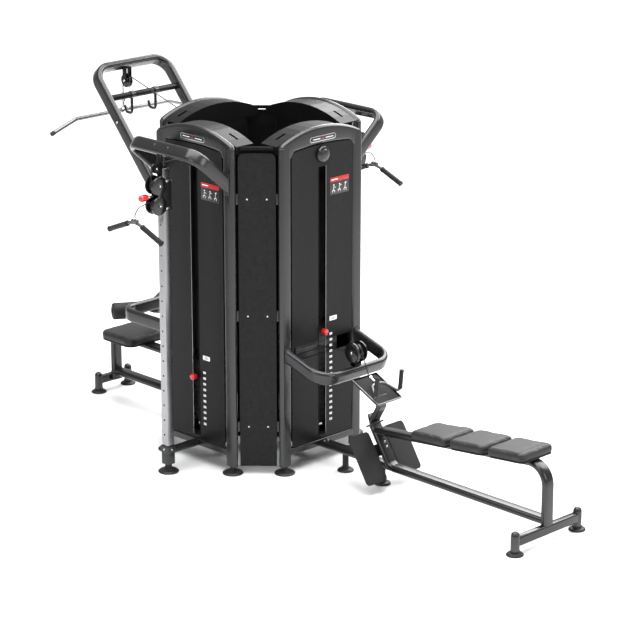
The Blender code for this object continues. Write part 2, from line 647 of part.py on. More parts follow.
def pad_outline(front, rear, half, corner):
    """A seat pad's plan with rounded corners, as (x, y) points."""
    points = []
    for x_sign, y_sign, start in ((1, 1, 0), (-1, 1, 90), (-1, -1, 180), (1, -1, 270)):
        x = rear - corner if x_sign > 0 else front + corner
        for step in range(4):
            angle = math.radians(start + 90 * step / 3)
            points.append((x + corner * math.cos(angle), y_sign * (half - corner) + corner * math.sin(angle)))
    return points


def row_pads():
    """Three upholstered blocks on one board along the seat beam."""
    slope = math.atan2(BENCH_BEAM_REAR_Z - BENCH_BEAM_FRONT[1], BENCH_REAR - BENCH_BEAM_FRONT[0])
    tilt = Matrix.Translation((PAD_FRONT, 0, seat_line(PAD_FRONT) + 2 * GAP)) @ Matrix.Rotation(-slope, 4, "Y")
    ends = [PAD_FRONT, *PAD_SEAMS, PAD_REAR]
    stretch = 1 / math.cos(slope)
    solids = [slab(pad_outline(0.015, (PAD_REAR - PAD_FRONT) * stretch - 0.015, PAD_WIDE / 2 - 0.015, 0.02),
                   0, 0.012, "XY")]
    for start, end in zip(ends, ends[1:]):
        front = (start - PAD_FRONT) * stretch + PAD_SEAM / 2
        rear = (end - PAD_FRONT) * stretch - PAD_SEAM / 2
        solids.append(slab(pad_outline(front, rear, PAD_WIDE / 2, 0.035), 0.008, 0.008 + PAD_THICK, "XY"))
    for solid in solids:
        bmesh.ops.transform(solid, matrix=tilt, verts=solid.verts)
    return fused(solids)


def row_handle_points():
    """The parked double-grip handle: eye, two arms and two upright grips, clear of the tray."""
    slope, normal = tray_frame()
    back = Vector((TRAY_BACK[0], 0, TRAY_BACK[1]))
    eye = back + slope * 0.045 + normal * 0.034
    heel = back + slope * 0.200 + normal * 0.026
    return eye, heel


def row_handle():
    """The row handle: a bent bar through a centre eye with two upright rubber grips."""
    eye, heel = row_handle_points()
    neck = eye + (heel - eye) * 0.30
    solids = []
    for side in (-1, 1):
        grip = heel + Vector((0, side * ROW_GRIP_SPREAD, 0))
        path = [neck, neck + Vector((0.02, side * 0.050, -0.006)), grip, grip + Vector((0.012, 0, ROW_GRIP_TALL))]
        bend = rounded_path(path, 0.018, 4)
        steel_bar = tube_along(bend, BAR_RADIUS * 0.72, 10)
        solids.append(steel_bar)
        low = grip + Vector((0.0012, 0, 0.022))
        high = grip + Vector((0.0135, 0, ROW_GRIP_TALL + 0.004))
        solids.append(rod(low, high, GRIP_RADIUS * 0.85, 14))
    solids.append(rod(neck - Vector((0, 0.012, 0)), neck + Vector((0, 0.012, 0)), 0.014, 14))
    solids.append(rod(neck, eye, 0.008, 10))
    solids.append(rod(eye - Vector((0, 0.004, 0)), eye + Vector((0, 0.004, 0)), 0.013, 14))
    return fused(solids)


def tube_along(path, radius, sides=8):
    """A round bar along any path, its section carried round the bends without twist."""
    path = [Vector(point) for point in path]
    bm = bmesh.new()
    side = (path[1] - path[0]).orthogonal().normalized()
    rings = []
    for index, point in enumerate(path):
        before = (point - path[index - 1]).normalized() if index else (path[1] - path[0]).normalized()
        after = (path[index + 1] - point).normalized() if index + 1 < len(path) else before
        ahead = (before + after).normalized()
        side = (side - ahead * side.dot(ahead)).normalized()
        up = ahead.cross(side)
        rings.append([bm.verts.new(point + side * u + up * v) for u, v in circle(radius, sides)])
    for ring, following in zip(rings, rings[1:]):
        for index in range(sides):
            nearby = (index + 1) % sides
            bm.faces.new((ring[index], ring[nearby], following[nearby], following[index]))
    bm.faces.new(rings[0][::-1])
    bm.faces.new(rings[-1])
    bmesh.ops.recalc_face_normals(bm, faces=bm.faces)
    return bm


def cable(name, points, material):
    """A taut steel cable as a curve through its held points."""
    curve = bpy.data.curves.new(name, "CURVE")
    curve.dimensions = "3D"
    spline = curve.splines.new("POLY")
    spline.points.add(len(points) - 1)
    for target, point in zip(spline.points, points):
        target.co = (*point, 1.0)
    curve.bevel_depth = CABLE_RADIUS
    curve.bevel_resolution = 2
    curve.use_fill_caps = True
    curve.materials.append(material)
    piece = bpy.data.objects.new(name, curve)
    bpy.context.scene.collection.objects.link(piece)
    return piece


def around(centre, radius, start, end, steps=8):
    """Points of an arc in a station's upright plane, angles in degrees from +X towards +Z."""
    points = []
    for step in range(steps + 1):
        angle = math.radians(start + (end - start) * step / steps)
        points.append(Vector(centre) + Vector((radius * math.cos(angle), 0, radius * math.sin(angle))))
    return points


def turned_points(points, turn):
    """Points of one station's frame in the whole machine's frame."""
    return [Matrix.Rotation(turn, 3, "Z") @ Vector(point) for point in points]


def build_row(frame_grey, cover_black, upholstery, rubber, steel, cable_black):
    """The seated row station along +X."""
    place("row_u_bar", row_u_bar(), frame_grey)
    place("row_pulley", row_pulley(), cover_black, 0, ROW_PULLEY)
    place("row_tray", row_tray(), cover_black)
    place("row_bench_frame", bench_frame(), frame_grey)
    place("row_foot_plates", foot_plates(), rubber)
    place("row_seat_pads", row_pads(), upholstery)
    eye, _ = row_handle_points()
    place("row_handle", row_handle(), steel, 0, eye)
    wrap = 0.042 + CABLE_RADIUS + CABLE_GAP
    slope, _ = tray_frame()
    lead = eye - slope * (0.013 + GAP) - slope * 0.001
    run = [(STACK_OUT + 0.056, 0, 0.705), (0.60, 0, 0.710), *around(ROW_PULLEY, wrap, 190, 5, 10),
           (lead.x - 0.012, 0, lead.z + 0.020), lead]
    cable("row_cable", run, cable_black)


# ---- Lat station -------------------------------------------------------------------------------
def hoop_point(out, off=0.0):
    """A point of the hoop's centre plane at a distance out, moved off along the plane's normal."""
    z = HOOP_LOW + (out - UPRIGHT_FACE) * math.tan(HOOP_ANGLE)
    return Vector((out - off * math.sin(HOOP_ANGLE), 0, z + off * math.cos(HOOP_ANGLE)))


def lat_pulley_centre():
    """The lat pulley's axle, hung under the hoop's cross member."""
    return Vector((LAT_BAR_OUT - LAT_PULLEY_RADIUS + 0.004, 0, hoop_point(HOOP_FRONT).z - 0.105))


def lat_hoop():
    """The tall U-bar with its round cross tube, two bar hooks and the pulley's bracket."""
    solids = [u_bar(HOOP_LOW, HOOP_FRONT, HOOP_ANGLE, HOOP_BEND), *u_bar_flanges(HOOP_LOW, HOOP_ANGLE)]
    cross = hoop_point(HOOP_CROSS)
    reach = Vector((0, UPRIGHT_SPREAD, 0))
    solids.append(rod(cross - reach, cross + reach, 0.019, 16))
    for side in (-1, 1):
        top = cross + Vector((0, side * HOOK_SPREAD, 0))
        low = Vector((top.x, top.y, HOOK_LOW))
        path = [top, low, low + Vector((0.050, 0, 0.0)), low + Vector((0.066, 0, 0.040))]
        solids.append(tube_along(rounded_path(path, 0.018, 3), 0.0085, 10))
    axle = lat_pulley_centre()
    roof = hoop_point(HOOP_FRONT)
    for side in (-1, 1):
        solids.append(box((axle.x - 0.022, side * 0.019 - 0.0025, axle.z - 0.016),
                          (axle.x + 0.016, side * 0.019 + 0.0025, roof.z)))
    bore = rod(axle - Vector((0, 0.04, 0)), axle + Vector((0, 0.04, 0)), 0.006 + RUNNING_GAP, 12)
    return fused(solids, [bore, upright_side()])


def lat_pulley():
    """The lat cable's wheel on its axle."""
    axle = lat_pulley_centre()
    wheel = sheave(axle, (0, 1, 0), LAT_PULLEY_RADIUS - 0.008, LAT_PULLEY_RADIUS, 0.010)
    return fused([wheel, rod(axle - Vector((0, 0.026, 0)), axle + Vector((0, 0.026, 0)), 0.006, 12)])


def lat_bar():
    """The wide bar: a straight middle, ends that slope down, and a centre eye with its link."""
    out, drop = LAT_BAR_END
    z = LAT_BAR_Z
    path = [(LAT_BAR_OUT, -LAT_BAR_HALF - out, z + drop), (LAT_BAR_OUT, -LAT_BAR_HALF, z),
            (LAT_BAR_OUT, LAT_BAR_HALF, z), (LAT_BAR_OUT, LAT_BAR_HALF + out, z + drop)]
    solids = [tube_along(rounded_path(path, 0.06, 4), BAR_RADIUS, 12)]
    solids.append(rod((LAT_BAR_OUT, 0, z), (LAT_BAR_OUT, 0, z + 0.040), 0.008, 10))
    solids.append(rod((LAT_BAR_OUT, -0.018, z), (LAT_BAR_OUT, 0.018, z), 0.019, 14))
    solids.append(rod((LAT_BAR_OUT, 0, z + 0.030), (LAT_BAR_OUT, 0, z + 0.110), 0.006, 10))
    return fused(solids)


def seat_frame():
    """Floor beam, seat post with its foot bar, and the upper beam back to the tower."""
    section = stadium(TUBE_WIDE, TUBE_THIN)
    start = UPRIGHT_FACE + GAP
    lower = swept([(start, 0, BEAM_MIDDLE), (SEAT_POST + 0.01, 0, BEAM_MIDDLE)], section, (0, 1, 0))
    upper_z = SEAT_BEAM_TOP - TUBE_THIN / 2
    path = rounded_path([(start + 0.012, 0, upper_z), (SEAT_POST, 0, upper_z), (SEAT_POST, 0, 0.07)], 0.05)
    upper = swept(path, stadium(TUBE_WIDE - 0.001, TUBE_THIN - 0.001), (0, 1, 0))
    tie = swept([(start + 0.018, 0, BEAM_MIDDLE), (start + 0.018, 0, upper_z)],
                stadium(TUBE_WIDE - 0.002, 0.034), (0, 1, 0))
    foot_bar = swept([(SEAT_FEET_OUT, -SEAT_FEET_SPREAD, 0.080), (SEAT_FEET_OUT, SEAT_FEET_SPREAD, 0.080)],
                     rectangle(0.042, 0.050, 0.008), (1, 0, 0))
    posts = []
    for side in (-1, 1):
        post = [(0, 0), (SMALL_FOOT_RADIUS, 0), (SMALL_FOOT_RADIUS, FOOT_THICK * 0.6), (0.034, FOOT_THICK),
                (0.025, FOOT_THICK + 0.002), (0.025, 0.108), (0.021, 0.122), (0.012, 0.130), (0, 0.132)]
        posts.append(turned(post, (SEAT_FEET_OUT, side * SEAT_FEET_SPREAD, 0), (0, 0, 1), 12))
    return fused([lower, upper, tie, foot_bar, *posts])


def lat_seat_pad():
    """The single seat cushion."""
    long, wide, thick = SEAT_SIZE
    outline = pad_outline(SEAT_CENTRE[0] - long / 2, SEAT_CENTRE[0] + long / 2, wide / 2, 0.06)
    low = SEAT_BEAM_TOP + GAP
    return fused([slab(outline, low, low + thick, "XY")])


def roller_axis(side):
    """A thigh roller's inner end and the way it points, one of a V."""
    way = Vector((math.sin(ROLLER_TURN), side * math.cos(ROLLER_TURN), 0))
    start = Vector((THIGH_BAR_FRONT + 0.052, side * 0.030, THIGH_BAR_Z - 0.045))
    return start, way


def thigh_bar():
    """The lower U-bar on the lat tower with two stub shafts for the rollers."""
    solids = [u_bar(THIGH_BAR_Z, THIGH_BAR_FRONT, 0.0, 0.100), *u_bar_flanges(THIGH_BAR_Z, 0.0)]
    lug_low = THIGH_BAR_Z - 0.060
    solids.append(box((THIGH_BAR_FRONT - 0.01, -0.030, lug_low), (THIGH_BAR_FRONT + 0.062, 0.030, lug_low + 0.034)))
    for side in (-1, 1):
        start, way = roller_axis(side)
        solids.append(rod(start - way * 0.02, start + way * (ROLLER_LONG + 0.012), 0.010, 12))
    return fused(solids, [upright_side()])


def roller(side):
    """A foam thigh roller round its shaft."""
    start, way = roller_axis(side)
    near, far = start + way * 0.030, start + way * (0.030 + ROLLER_LONG - 0.020)
    long = (far - near).length
    profile = [(0, 0), (ROLLER_RADIUS - 0.012, 0), (ROLLER_RADIUS, 0.012), (ROLLER_RADIUS, long - 0.012),
               (ROLLER_RADIUS - 0.012, long), (0, long)]
    body = turned(profile, near, way, 18)
    return fused([body], [rod(near - way * 0.01, far + way * 0.01, 0.010 + RUNNING_GAP, 12)])


def build_lat(frame_grey, upholstery, rubber, steel, cable_black):
    """The lat pull-down station along -X."""
    place("lat_hoop", lat_hoop(), frame_grey, LAT)
    place("lat_pulley", lat_pulley(), rubber, LAT, lat_pulley_centre())
    place("lat_bar", lat_bar(), steel, LAT, (LAT_BAR_OUT, 0, LAT_BAR_Z))
    place("lat_seat_frame", seat_frame(), frame_grey, LAT)
    place("lat_seat_pad", lat_seat_pad(), upholstery, LAT)
    place("lat_thigh_bar", thigh_bar(), frame_grey, LAT)
    for side, name in ((-1, "lat_roller_left"), (1, "lat_roller_right")):
        start, _ = roller_axis(side)
        place(name, roller(side), upholstery, LAT, start)
    axle = lat_pulley_centre()
    wrap = LAT_PULLEY_RADIUS - 0.008 + CABLE_RADIUS + CABLE_GAP
    run = [(UPRIGHT_FACE + 0.020, 0, TOWER_HEIGHT - 0.090), *around(axle, wrap, 112, 0, 8),
           (axle.x + wrap, 0, LAT_BAR_Z + 0.110 + GAP)]
    cable("lat_cable", turned_points(run, LAT), cable_black)


# ---- Cable columns -----------------------------------------------------------------------------
def boom_top():
    """Centre of the boom's cross member."""
    start = UPRIGHT_FACE + GAP + 0.015
    return Vector((BOOM_REACH, 0, BOOM_LOW + (BOOM_REACH - start) * math.tan(BOOM_ANGLE)))


def boom_pulley_centre():
    """Axle of the small wheel under the boom, clear of the column's front."""
    return Vector((BOOM_REACH + COLUMN_SIZE / 2 + 0.034, 0, boom_top().z - 0.090))


def column_top():
    """Top of the chromed tube, which leaves the cable a way over it to the boom pulley."""
    return boom_pulley_centre().z - 0.004


def boom():
    """The rising U-bar with a plate in front of the column that carries the boom pulley."""
    solids = [u_bar(BOOM_LOW, BOOM_REACH, BOOM_ANGLE, BOOM_BEND), *u_bar_flanges(BOOM_LOW, BOOM_ANGLE)]
    top, axle = boom_top(), boom_pulley_centre()
    face = BOOM_REACH + COLUMN_SIZE / 2 + GAP
    solids.append(box((face, -0.0235, axle.z - 0.050), (face + 0.004, 0.0235, top.z)))
    for side in (-1, 1):
        solids.append(box((face + 0.002, side * 0.0165 - 0.002, axle.z - 0.022),
                          (axle.x + 0.016, side * 0.0165 + 0.002, axle.z + 0.022)))
    solids.append(sheave(axle, (0, 1, 0), 0.020, 0.026, 0.008))
    solids.append(rod(axle - Vector((0, 0.022, 0)), axle + Vector((0, 0.022, 0)), 0.005, 10))
    cable_way = box((face - 0.01, -0.007, axle.z + 0.014), (face + 0.02, 0.007, axle.z + 0.032))
    return fused(solids, [upright_side(), cable_way])


def column():
    """The square chromed tube with its locating holes, on a base post, collar and foot."""
    half = COLUMN_SIZE / 2
    top = column_top()
    low = COLUMN_BASE - 0.020
    tube = box((BOOM_REACH - half, -half, low), (BOOM_REACH + half, half, top))
    inner = half - COLUMN_WALL
    bore = box((BOOM_REACH - inner, -inner, COLUMN_BASE + 0.002), (BOOM_REACH + inner, inner, top + 0.01))
    collar = swept([(BOOM_REACH, 0, COLUMN_BASE - 0.030), (BOOM_REACH, 0, COLUMN_BASE + 0.012)],
                   rectangle(0.064, 0.064, 0.008), (0, 1, 0))
    post = swept([(BOOM_REACH, 0, 0.050), (BOOM_REACH, 0, COLUMN_BASE - 0.010)],
                 rectangle(0.058, 0.058, 0.008), (0, 1, 0))
    beam = swept([(UPRIGHT_FACE + GAP, 0, BEAM_MIDDLE), (BOOM_REACH, 0, BEAM_MIDDLE)],
                 stadium(TUBE_WIDE - 0.026, TUBE_THIN), (0, 1, 0))
    holes = []
    for index in range(COLUMN_HOLES):
        z = COLUMN_HOLE_FIRST + index * COLUMN_HOLE_PITCH
        holes.append(rod((BOOM_REACH + inner - 0.002, 0, z), (BOOM_REACH + half + 0.01, 0, z), COLUMN_HOLE_RADIUS, 6))
    return fused([tube, collar, post, beam, foot(BOOM_REACH, 0, FOOT_RADIUS, 0.06, 0.02)], [bore, *holes])


def carriage():
    """The sleeve that slides on the column, with two cable wheels between round side covers."""
    clear = COLUMN_SIZE / 2 + RUNNING_GAP
    outer = clear + 0.007
    half_tall = CARRIAGE_TALL / 2
    low, high = CARRIAGE_Z - half_tall, CARRIAGE_Z + half_tall
    axle_x = BOOM_REACH + HEAD_PULLEY_OUT
    solids = [box((BOOM_REACH - outer, -outer, low), (BOOM_REACH + outer, outer, high))]
    for side in (-1, 1):
        solids.append(box((axle_x - 0.040, side * 0.034 - 0.004, CARRIAGE_Z - 0.050),
                          (axle_x + 0.030, side * 0.034 + 0.004, CARRIAGE_Z + 0.050)))
        for up in (-1, 1):
            cover = [(0, 0), (HEAD_PULLEY_RADIUS, 0), (HEAD_PULLEY_RADIUS, 0.008), (0.046, 0.015), (0, 0.018)]
            centre = (axle_x, side * (0.0318 + up * 0.0006), CARRIAGE_Z + up * HEAD_PULLEY_SPREAD)
            solids.append(turned(cover, centre, (0, side, 0), 16))
    for up in (-1, 1):
        axle = (axle_x + 0.010, 0, CARRIAGE_Z + up * HEAD_PULLEY_SPREAD)
        solids.append(sheave(axle, (0, 1, 0), 0.022, 0.030, 0.010))
        solids.append(rod((axle[0], -0.036, axle[2]), (axle[0], 0.036, axle[2]), 0.008, 10))
    solids.append(box((BOOM_REACH + outer - 0.001, -0.020, CARRIAGE_Z - 0.013),
                      (axle_x + 0.004, 0.020, CARRIAGE_Z + 0.013)))
    bore = box((BOOM_REACH - clear, -clear, low - 0.02), (BOOM_REACH + clear, clear, high + 0.02))
    pin_hole = rod((BOOM_REACH, 0, CARRIAGE_Z), (axle_x + 0.03, 0, CARRIAGE_Z), LOCK_PIN_RADIUS + RUNNING_GAP / 2, 12)
    return fused(solids, [bore, pin_hole])


def lock_knob():
    """The spring pin: a plunger that ends just clear of the column, with a red pull knob."""
    start = BOOM_REACH + COLUMN_SIZE / 2 + GAP
    knob = BOOM_REACH + LOCK_KNOB_OUT
    profile = [(0, 0), (0.012, 0), (0.014, 0.012), (KNOB_RADIUS, 0.026), (KNOB_RADIUS, 0.050), (0.012, 0.060), (0, 0.060)]
    return fused([
        rod((start, 0, CARRIAGE_Z), (knob + 0.004, 0, CARRIAGE_Z), LOCK_PIN_RADIUS, 12),
        turned(profile, (knob, 0, CARRIAGE_Z), (1, 0, 0), 14),
    ])


def cable_bar():
    """The short bar: a centre eye and shackle, two drooping arms and two rubber grips."""
    z = CARRIAGE_Z - CABLE_BAR_DROP
    out = CABLE_BAR_OUT
    solids = [rod((out, 0, z - 0.022), (out, 0, z + 0.022), 0.0115, 12)]
    for side in (-1, 1):
        path = [(out, 0, z - 0.012), (out, side * 0.045, z - 0.020), (out, side * 0.220, z - 0.090)]
        solids.append(tube_along(rounded_path(path, 0.03, 3), BAR_RADIUS * 0.8, 10))
        solids.append(rod((out, side * 0.062, z - 0.0268), (out, side * 0.222, z - 0.0908), GRIP_RADIUS, 14))
    return fused(solids)


def cable_run():
    """The cable from the tower over the boom pulley and down the column to the carriage."""
    axle = boom_pulley_centre()
    wrap = 0.020 + CABLE_RADIUS + CABLE_GAP
    lower = BOOM_REACH + HEAD_PULLEY_OUT + 0.010 + 0.022 + CABLE_RADIUS + GAP
    top = CARRIAGE_Z + HEAD_PULLEY_SPREAD + 0.034
    return [(COVER_OUT + 0.012, 0, axle.z + 0.030), *around(axle, wrap, 96, -6, 7), (lower, 0, top)]


def cable_tail():
    """The cable from between the carriage's wheels out to the bar's eye."""
    start = BOOM_REACH + HEAD_PULLEY_OUT + 0.045
    eye = CARRIAGE_Z - CABLE_BAR_DROP + 0.0225
    return [(start, 0, CARRIAGE_Z - 0.030), (CABLE_BAR_OUT - 0.030, 0, eye + 0.045),
            (CABLE_BAR_OUT - 0.006, 0, eye + 0.018), (CABLE_BAR_OUT, 0, eye + CABLE_GAP)]


def build_columns(frame_grey, cover_black, knob_red, chrome, rubber, cable_black):
    """The two cable columns, along -Y and +Y."""
    arm, post, sleeve, knob, bar = boom(), column(), carriage(), lock_knob(), cable_bar()
    for name, turn in CABLE_STATIONS.items():
        place(f"{name}_boom", arm, frame_grey, turn)
        place(f"{name}_column", post, chrome, turn)
        place(f"{name}_carriage", sleeve, cover_black, turn, (BOOM_REACH, 0, CARRIAGE_Z))
        place(f"{name}_lock_knob", knob, knob_red, turn, (BOOM_REACH, 0, CARRIAGE_Z))
        place(f"{name}_cable_bar", bar, rubber, turn, (CABLE_BAR_OUT, 0, CARRIAGE_Z - CABLE_BAR_DROP))
        cable(f"{name}_cable_run", turned_points(cable_run(), turn), cable_black)
        cable(f"{name}_cable_tail", turned_points(cable_tail(), turn), cable_black)


def clear_scene():
    """Starts from an empty scene."""
    for item in list(bpy.data.objects):
        bpy.data.objects.remove(item)


def build():
    """The whole machine."""
    clear_scene()
    frame_grey = finish("frame_grey", (0.075, 0.077, 0.080), 0.42, 0.55)
    cover_black = finish("cover_black", (0.016, 0.016, 0.017), 0.50, 0.0)
    stack_grey = finish("stack_grey", (0.030, 0.030, 0.032), 0.55, 0.3)
    steel = finish("steel", (0.35, 0.35, 0.36), 0.35, 1.0)
    chrome = finish("chrome", (0.72, 0.72, 0.73), 0.15, 1.0)
    upholstery = finish("upholstery", (0.035, 0.035, 0.037), 0.60, 0.0)
    rubber = finish("rubber", (0.012, 0.012, 0.012), 0.85, 0.0)
    knob_red = finish("knob_red", (0.55, 0.012, 0.015), 0.35, 0.0)
    cable_black = finish("cable_black", (0.02, 0.02, 0.02), 0.4, 0.0)
    place("core_base", core_base(), frame_grey)
    build_towers(frame_grey, cover_black, stack_grey, knob_red, steel)
    build_row(frame_grey, cover_black, upholstery, rubber, steel, cable_black)
    build_lat(frame_grey, upholstery, rubber, steel, cable_black)
    build_columns(frame_grey, cover_black, knob_red, chrome, rubber, cable_black)


build()
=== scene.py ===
"""Looks of a multi station home gym: four weight-stack towers, a row bench, a lat seat, two cable columns.

Every station is shaped in its own frame, reaching out along +X, and then turned about the core's axis.
"""

import logging
import math
from collections.abc import Sequence
from dataclasses import dataclass, field
from enum import Enum

import bpy
import numpy as np
from mathutils import Matrix, Vector


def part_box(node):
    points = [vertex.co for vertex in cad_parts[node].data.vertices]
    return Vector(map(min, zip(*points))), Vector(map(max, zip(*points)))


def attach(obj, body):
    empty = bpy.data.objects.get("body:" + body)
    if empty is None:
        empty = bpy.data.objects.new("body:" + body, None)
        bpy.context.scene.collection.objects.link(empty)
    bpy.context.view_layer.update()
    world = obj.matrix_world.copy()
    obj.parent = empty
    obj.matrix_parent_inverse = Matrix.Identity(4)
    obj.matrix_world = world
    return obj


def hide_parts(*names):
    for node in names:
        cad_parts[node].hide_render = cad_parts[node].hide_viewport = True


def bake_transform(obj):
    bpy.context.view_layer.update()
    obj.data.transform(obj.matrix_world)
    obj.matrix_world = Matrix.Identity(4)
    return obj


LOG = logging.getLogger("home_gym")

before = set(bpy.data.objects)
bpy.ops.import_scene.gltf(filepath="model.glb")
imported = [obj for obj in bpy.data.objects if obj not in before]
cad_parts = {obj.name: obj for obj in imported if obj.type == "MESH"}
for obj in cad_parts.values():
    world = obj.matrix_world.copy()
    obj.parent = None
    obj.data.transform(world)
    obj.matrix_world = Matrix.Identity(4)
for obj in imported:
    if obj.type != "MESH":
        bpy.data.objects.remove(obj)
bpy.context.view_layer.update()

# ---- Sizes shared with the frame, in metres -----------------------------------------------------
TUBE_WIDE, TUBE_THIN = 0.080, 0.040
UPRIGHT_OUT, UPRIGHT_SPREAD = 0.496, 0.281
UPRIGHT_FACE = UPRIGHT_OUT + TUBE_THIN / 2
UPRIGHT_BACK = UPRIGHT_OUT - TUBE_THIN / 2
UPRIGHT_INNER = UPRIGHT_SPREAD - TUBE_WIDE / 2
UPRIGHT_OUTER = UPRIGHT_SPREAD + TUBE_WIDE / 2
TOWER_HEIGHT, ARCH_RISE = 1.930, 0.075
BEAM_MIDDLE, BEAM_TALL, BEAM_TOP = 0.125, 0.040, 0.145
COVER_FACE = 0.512
SLOT_HALF, SLOT_LOW, SLOT_HIGH = 0.028, 0.172, 1.770
STACK_OUT, PLATE_PITCH, STACK_LOW = 0.415, 0.0346, 0.235
PANEL_FACE = (UPRIGHT_BACK + UPRIGHT_OUTER) / math.sqrt(2)
CABLE_RADIUS = 0.0030
WELT_STEPS = 96
SIDES = (-1, 1)
SKIN = 0.0006
"""How far a label stands proud of what it is stuck to."""


class Station(Enum):
    """The four sides of the core, by the angle that each one faces."""

    ROW = 0
    NORTH = 90
    LAT = 180
    SOUTH = 270

    @property
    def key(self) -> str:
        """Its name as the frame's nodes spell it."""
        return self.name.lower()

    @property
    def turn(self) -> float:
        """Its angle about the core's axis, in radians."""
        return math.radians(self.value)


# ---- Surfaces -----------------------------------------------------------------------------------
@dataclass
class Surface:
    """A mesh as whole arrays: points, faces grouped by their number of corners, and one UV per corner."""

    points: np.ndarray
    faces: list[np.ndarray]
    uvs: list[np.ndarray]

    def turned(self, angle: float) -> "Surface":
        """The surface turned about the upright axis through the core."""
        spin = np.array(Matrix.Rotation(angle, 3, "Z"))
        return Surface(self.points @ spin.T, self.faces, self.uvs)

    def moved(self, way: Sequence[float]) -> "Surface":
        """The surface shifted by a vector."""
        return Surface(self.points + np.array(way, float), self.faces, self.uvs)

    def laid(self, matrix: Matrix) -> "Surface":
        """The surface carried by a rigid 4 by 4 matrix."""
        place = np.array(matrix)
        return Surface(self.points @ place[:3, :3].T + place[:3, 3], self.faces, self.uvs)


def joined(surfaces: Sequence[Surface]) -> Surface:
    """All the surfaces as one, each keeping its own points."""
    points, faces, uvs, start = [], [], [], 0
    for surface in surfaces:
        points.append(surface.points)
        faces += [group + start for group in surface.faces]
        uvs += surface.uvs
        start += len(surface.points)
    return Surface(np.concatenate(points), faces, uvs)


def arc(centre: Sequence[float], radius: float, start: float, end: float, steps: int) -> np.ndarray:
    """Points (u, v) on a circle's arc: centre + radius (cos a, sin a), a in degrees from start to end."""
    angle = np.radians(np.linspace(start, end, steps + 1))
    return np.array(centre) + radius * np.stack([np.cos(angle), np.sin(angle)], axis=1)


def stadium(wide: float, thin: float, steps: int = 12) -> np.ndarray:
    """A flat oval, anticlockwise: two half circles of radius thin/2 joined by flats, wide along u."""
    reach = wide / 2 - thin / 2
    return np.concatenate(
        [arc((reach, 0), thin / 2, -90, 90, steps), arc((-reach, 0), thin / 2, 90, 270, steps)]
    )


def soft_rectangle(wide: float, tall: float, corner: float, steps: int = 5) -> np.ndarray:
    """A rectangle, anticlockwise, whose corners are quarter circles of the corner radius."""
    u, v = wide / 2 - corner, tall / 2 - corner
    corners = [((u, v), 0), ((-u, v), 90), ((-u, -v), 180), ((u, -v), 270)]
    return np.concatenate([arc(centre, corner, start, start + 90, steps) for centre, start in corners])


def circle(radius: float, sides: int = 28) -> np.ndarray:
    """A circle, anticlockwise, without its end point twice."""
    return arc((0, 0), radius, 0, 360, sides)[:-1]


def bent(corners: Sequence[Sequence[float]], radius: float, steps: int = 12) -> np.ndarray:
    """Straight runs between the corners, each inner corner turned on an arc of the radius.

    Args:
        corners: points in space, at least two.
        radius: radius of every bend's centre line.
        steps: chords in each bend.

    Returns:
        The path's points as an (n, 3) array.
    """
    corners = [Vector(corner) for corner in corners]
    path = [corners[0]]
    for before, corner, after in zip(corners, corners[1:], corners[2:]):
        entry, leave = (before - corner).normalized(), (after - corner).normalized()
        half = entry.angle(leave) / 2
        centre = corner + (entry + leave).normalized() * radius / math.sin(half)
        spoke = corner + entry * radius / math.tan(half) - centre
        axis = entry.cross(leave).normalized()
        sweep = -(math.pi - 2 * half)
        path += [centre + Matrix.Rotation(sweep * step / steps, 3, axis) @ spoke for step in range(steps + 1)]
    path.append(corners[-1])
    return np.array([tuple(point) for point in path])


def grid(rings: np.ndarray, round_rings: bool = True, lids: bool = True) -> Surface:
    """The closed skin through a stack of rings: quads between neighbours and one face on each end.

    Args:
        rings: (n, m, 3) points, every ring anticlockwise seen from the far end.
        round_rings: whether each ring closes on itself.
        lids: whether the first and last ring are filled.

    Returns:
        The surface, with UVs in metres: u round the ring and v along the stack.
    """
    count, sides = rings.shape[:2]
    steps = np.arange(sides if round_rings else sides - 1)
    following = (steps + 1) % sides
    base = np.arange(count - 1)[:, None] * sides
    quads = np.stack([base + steps, base + following, base + sides + following, base + sides + steps], axis=2)
    around = np.linalg.norm(np.diff(rings, axis=1, append=rings[:, :1]), axis=2).max(axis=0)
    along = np.linalg.norm(np.diff(rings, axis=0), axis=2).max(axis=1)
    u = np.concatenate([[0], np.cumsum(around)])
    v = np.concatenate([[0], np.cumsum(along)])
    u0, u1 = u[steps], u[steps + 1]
    v0, v1 = v[:-1, None], v[1:, None]
    corners = [
        (u0 + 0 * v0, v0 + 0 * u0), (u1 + 0 * v0, v0 + 0 * u0), (u1 + 0 * v1, v1 + 0 * u0),
        (u0 + 0 * v1, v1 + 0 * u0),
    ]
    uv = np.stack([np.stack(corner, axis=2) for corner in corners], axis=2)
    faces, uvs = [quads.reshape(-1, 4)], [uv.reshape(-1, 4, 2)]
    if lids:
        for ring, order in ((0, np.arange(sides)[::-1]), (count - 1, np.arange(sides))):
            flat = rings[ring][order] - rings[ring].mean(axis=0)
            faces.append((ring * sides + order)[None, :])
            uvs.append(flat[None, :, :2] + flat[None, :, 2:] * 0.7)
    return Surface(rings.reshape(-1, 3), faces, uvs)


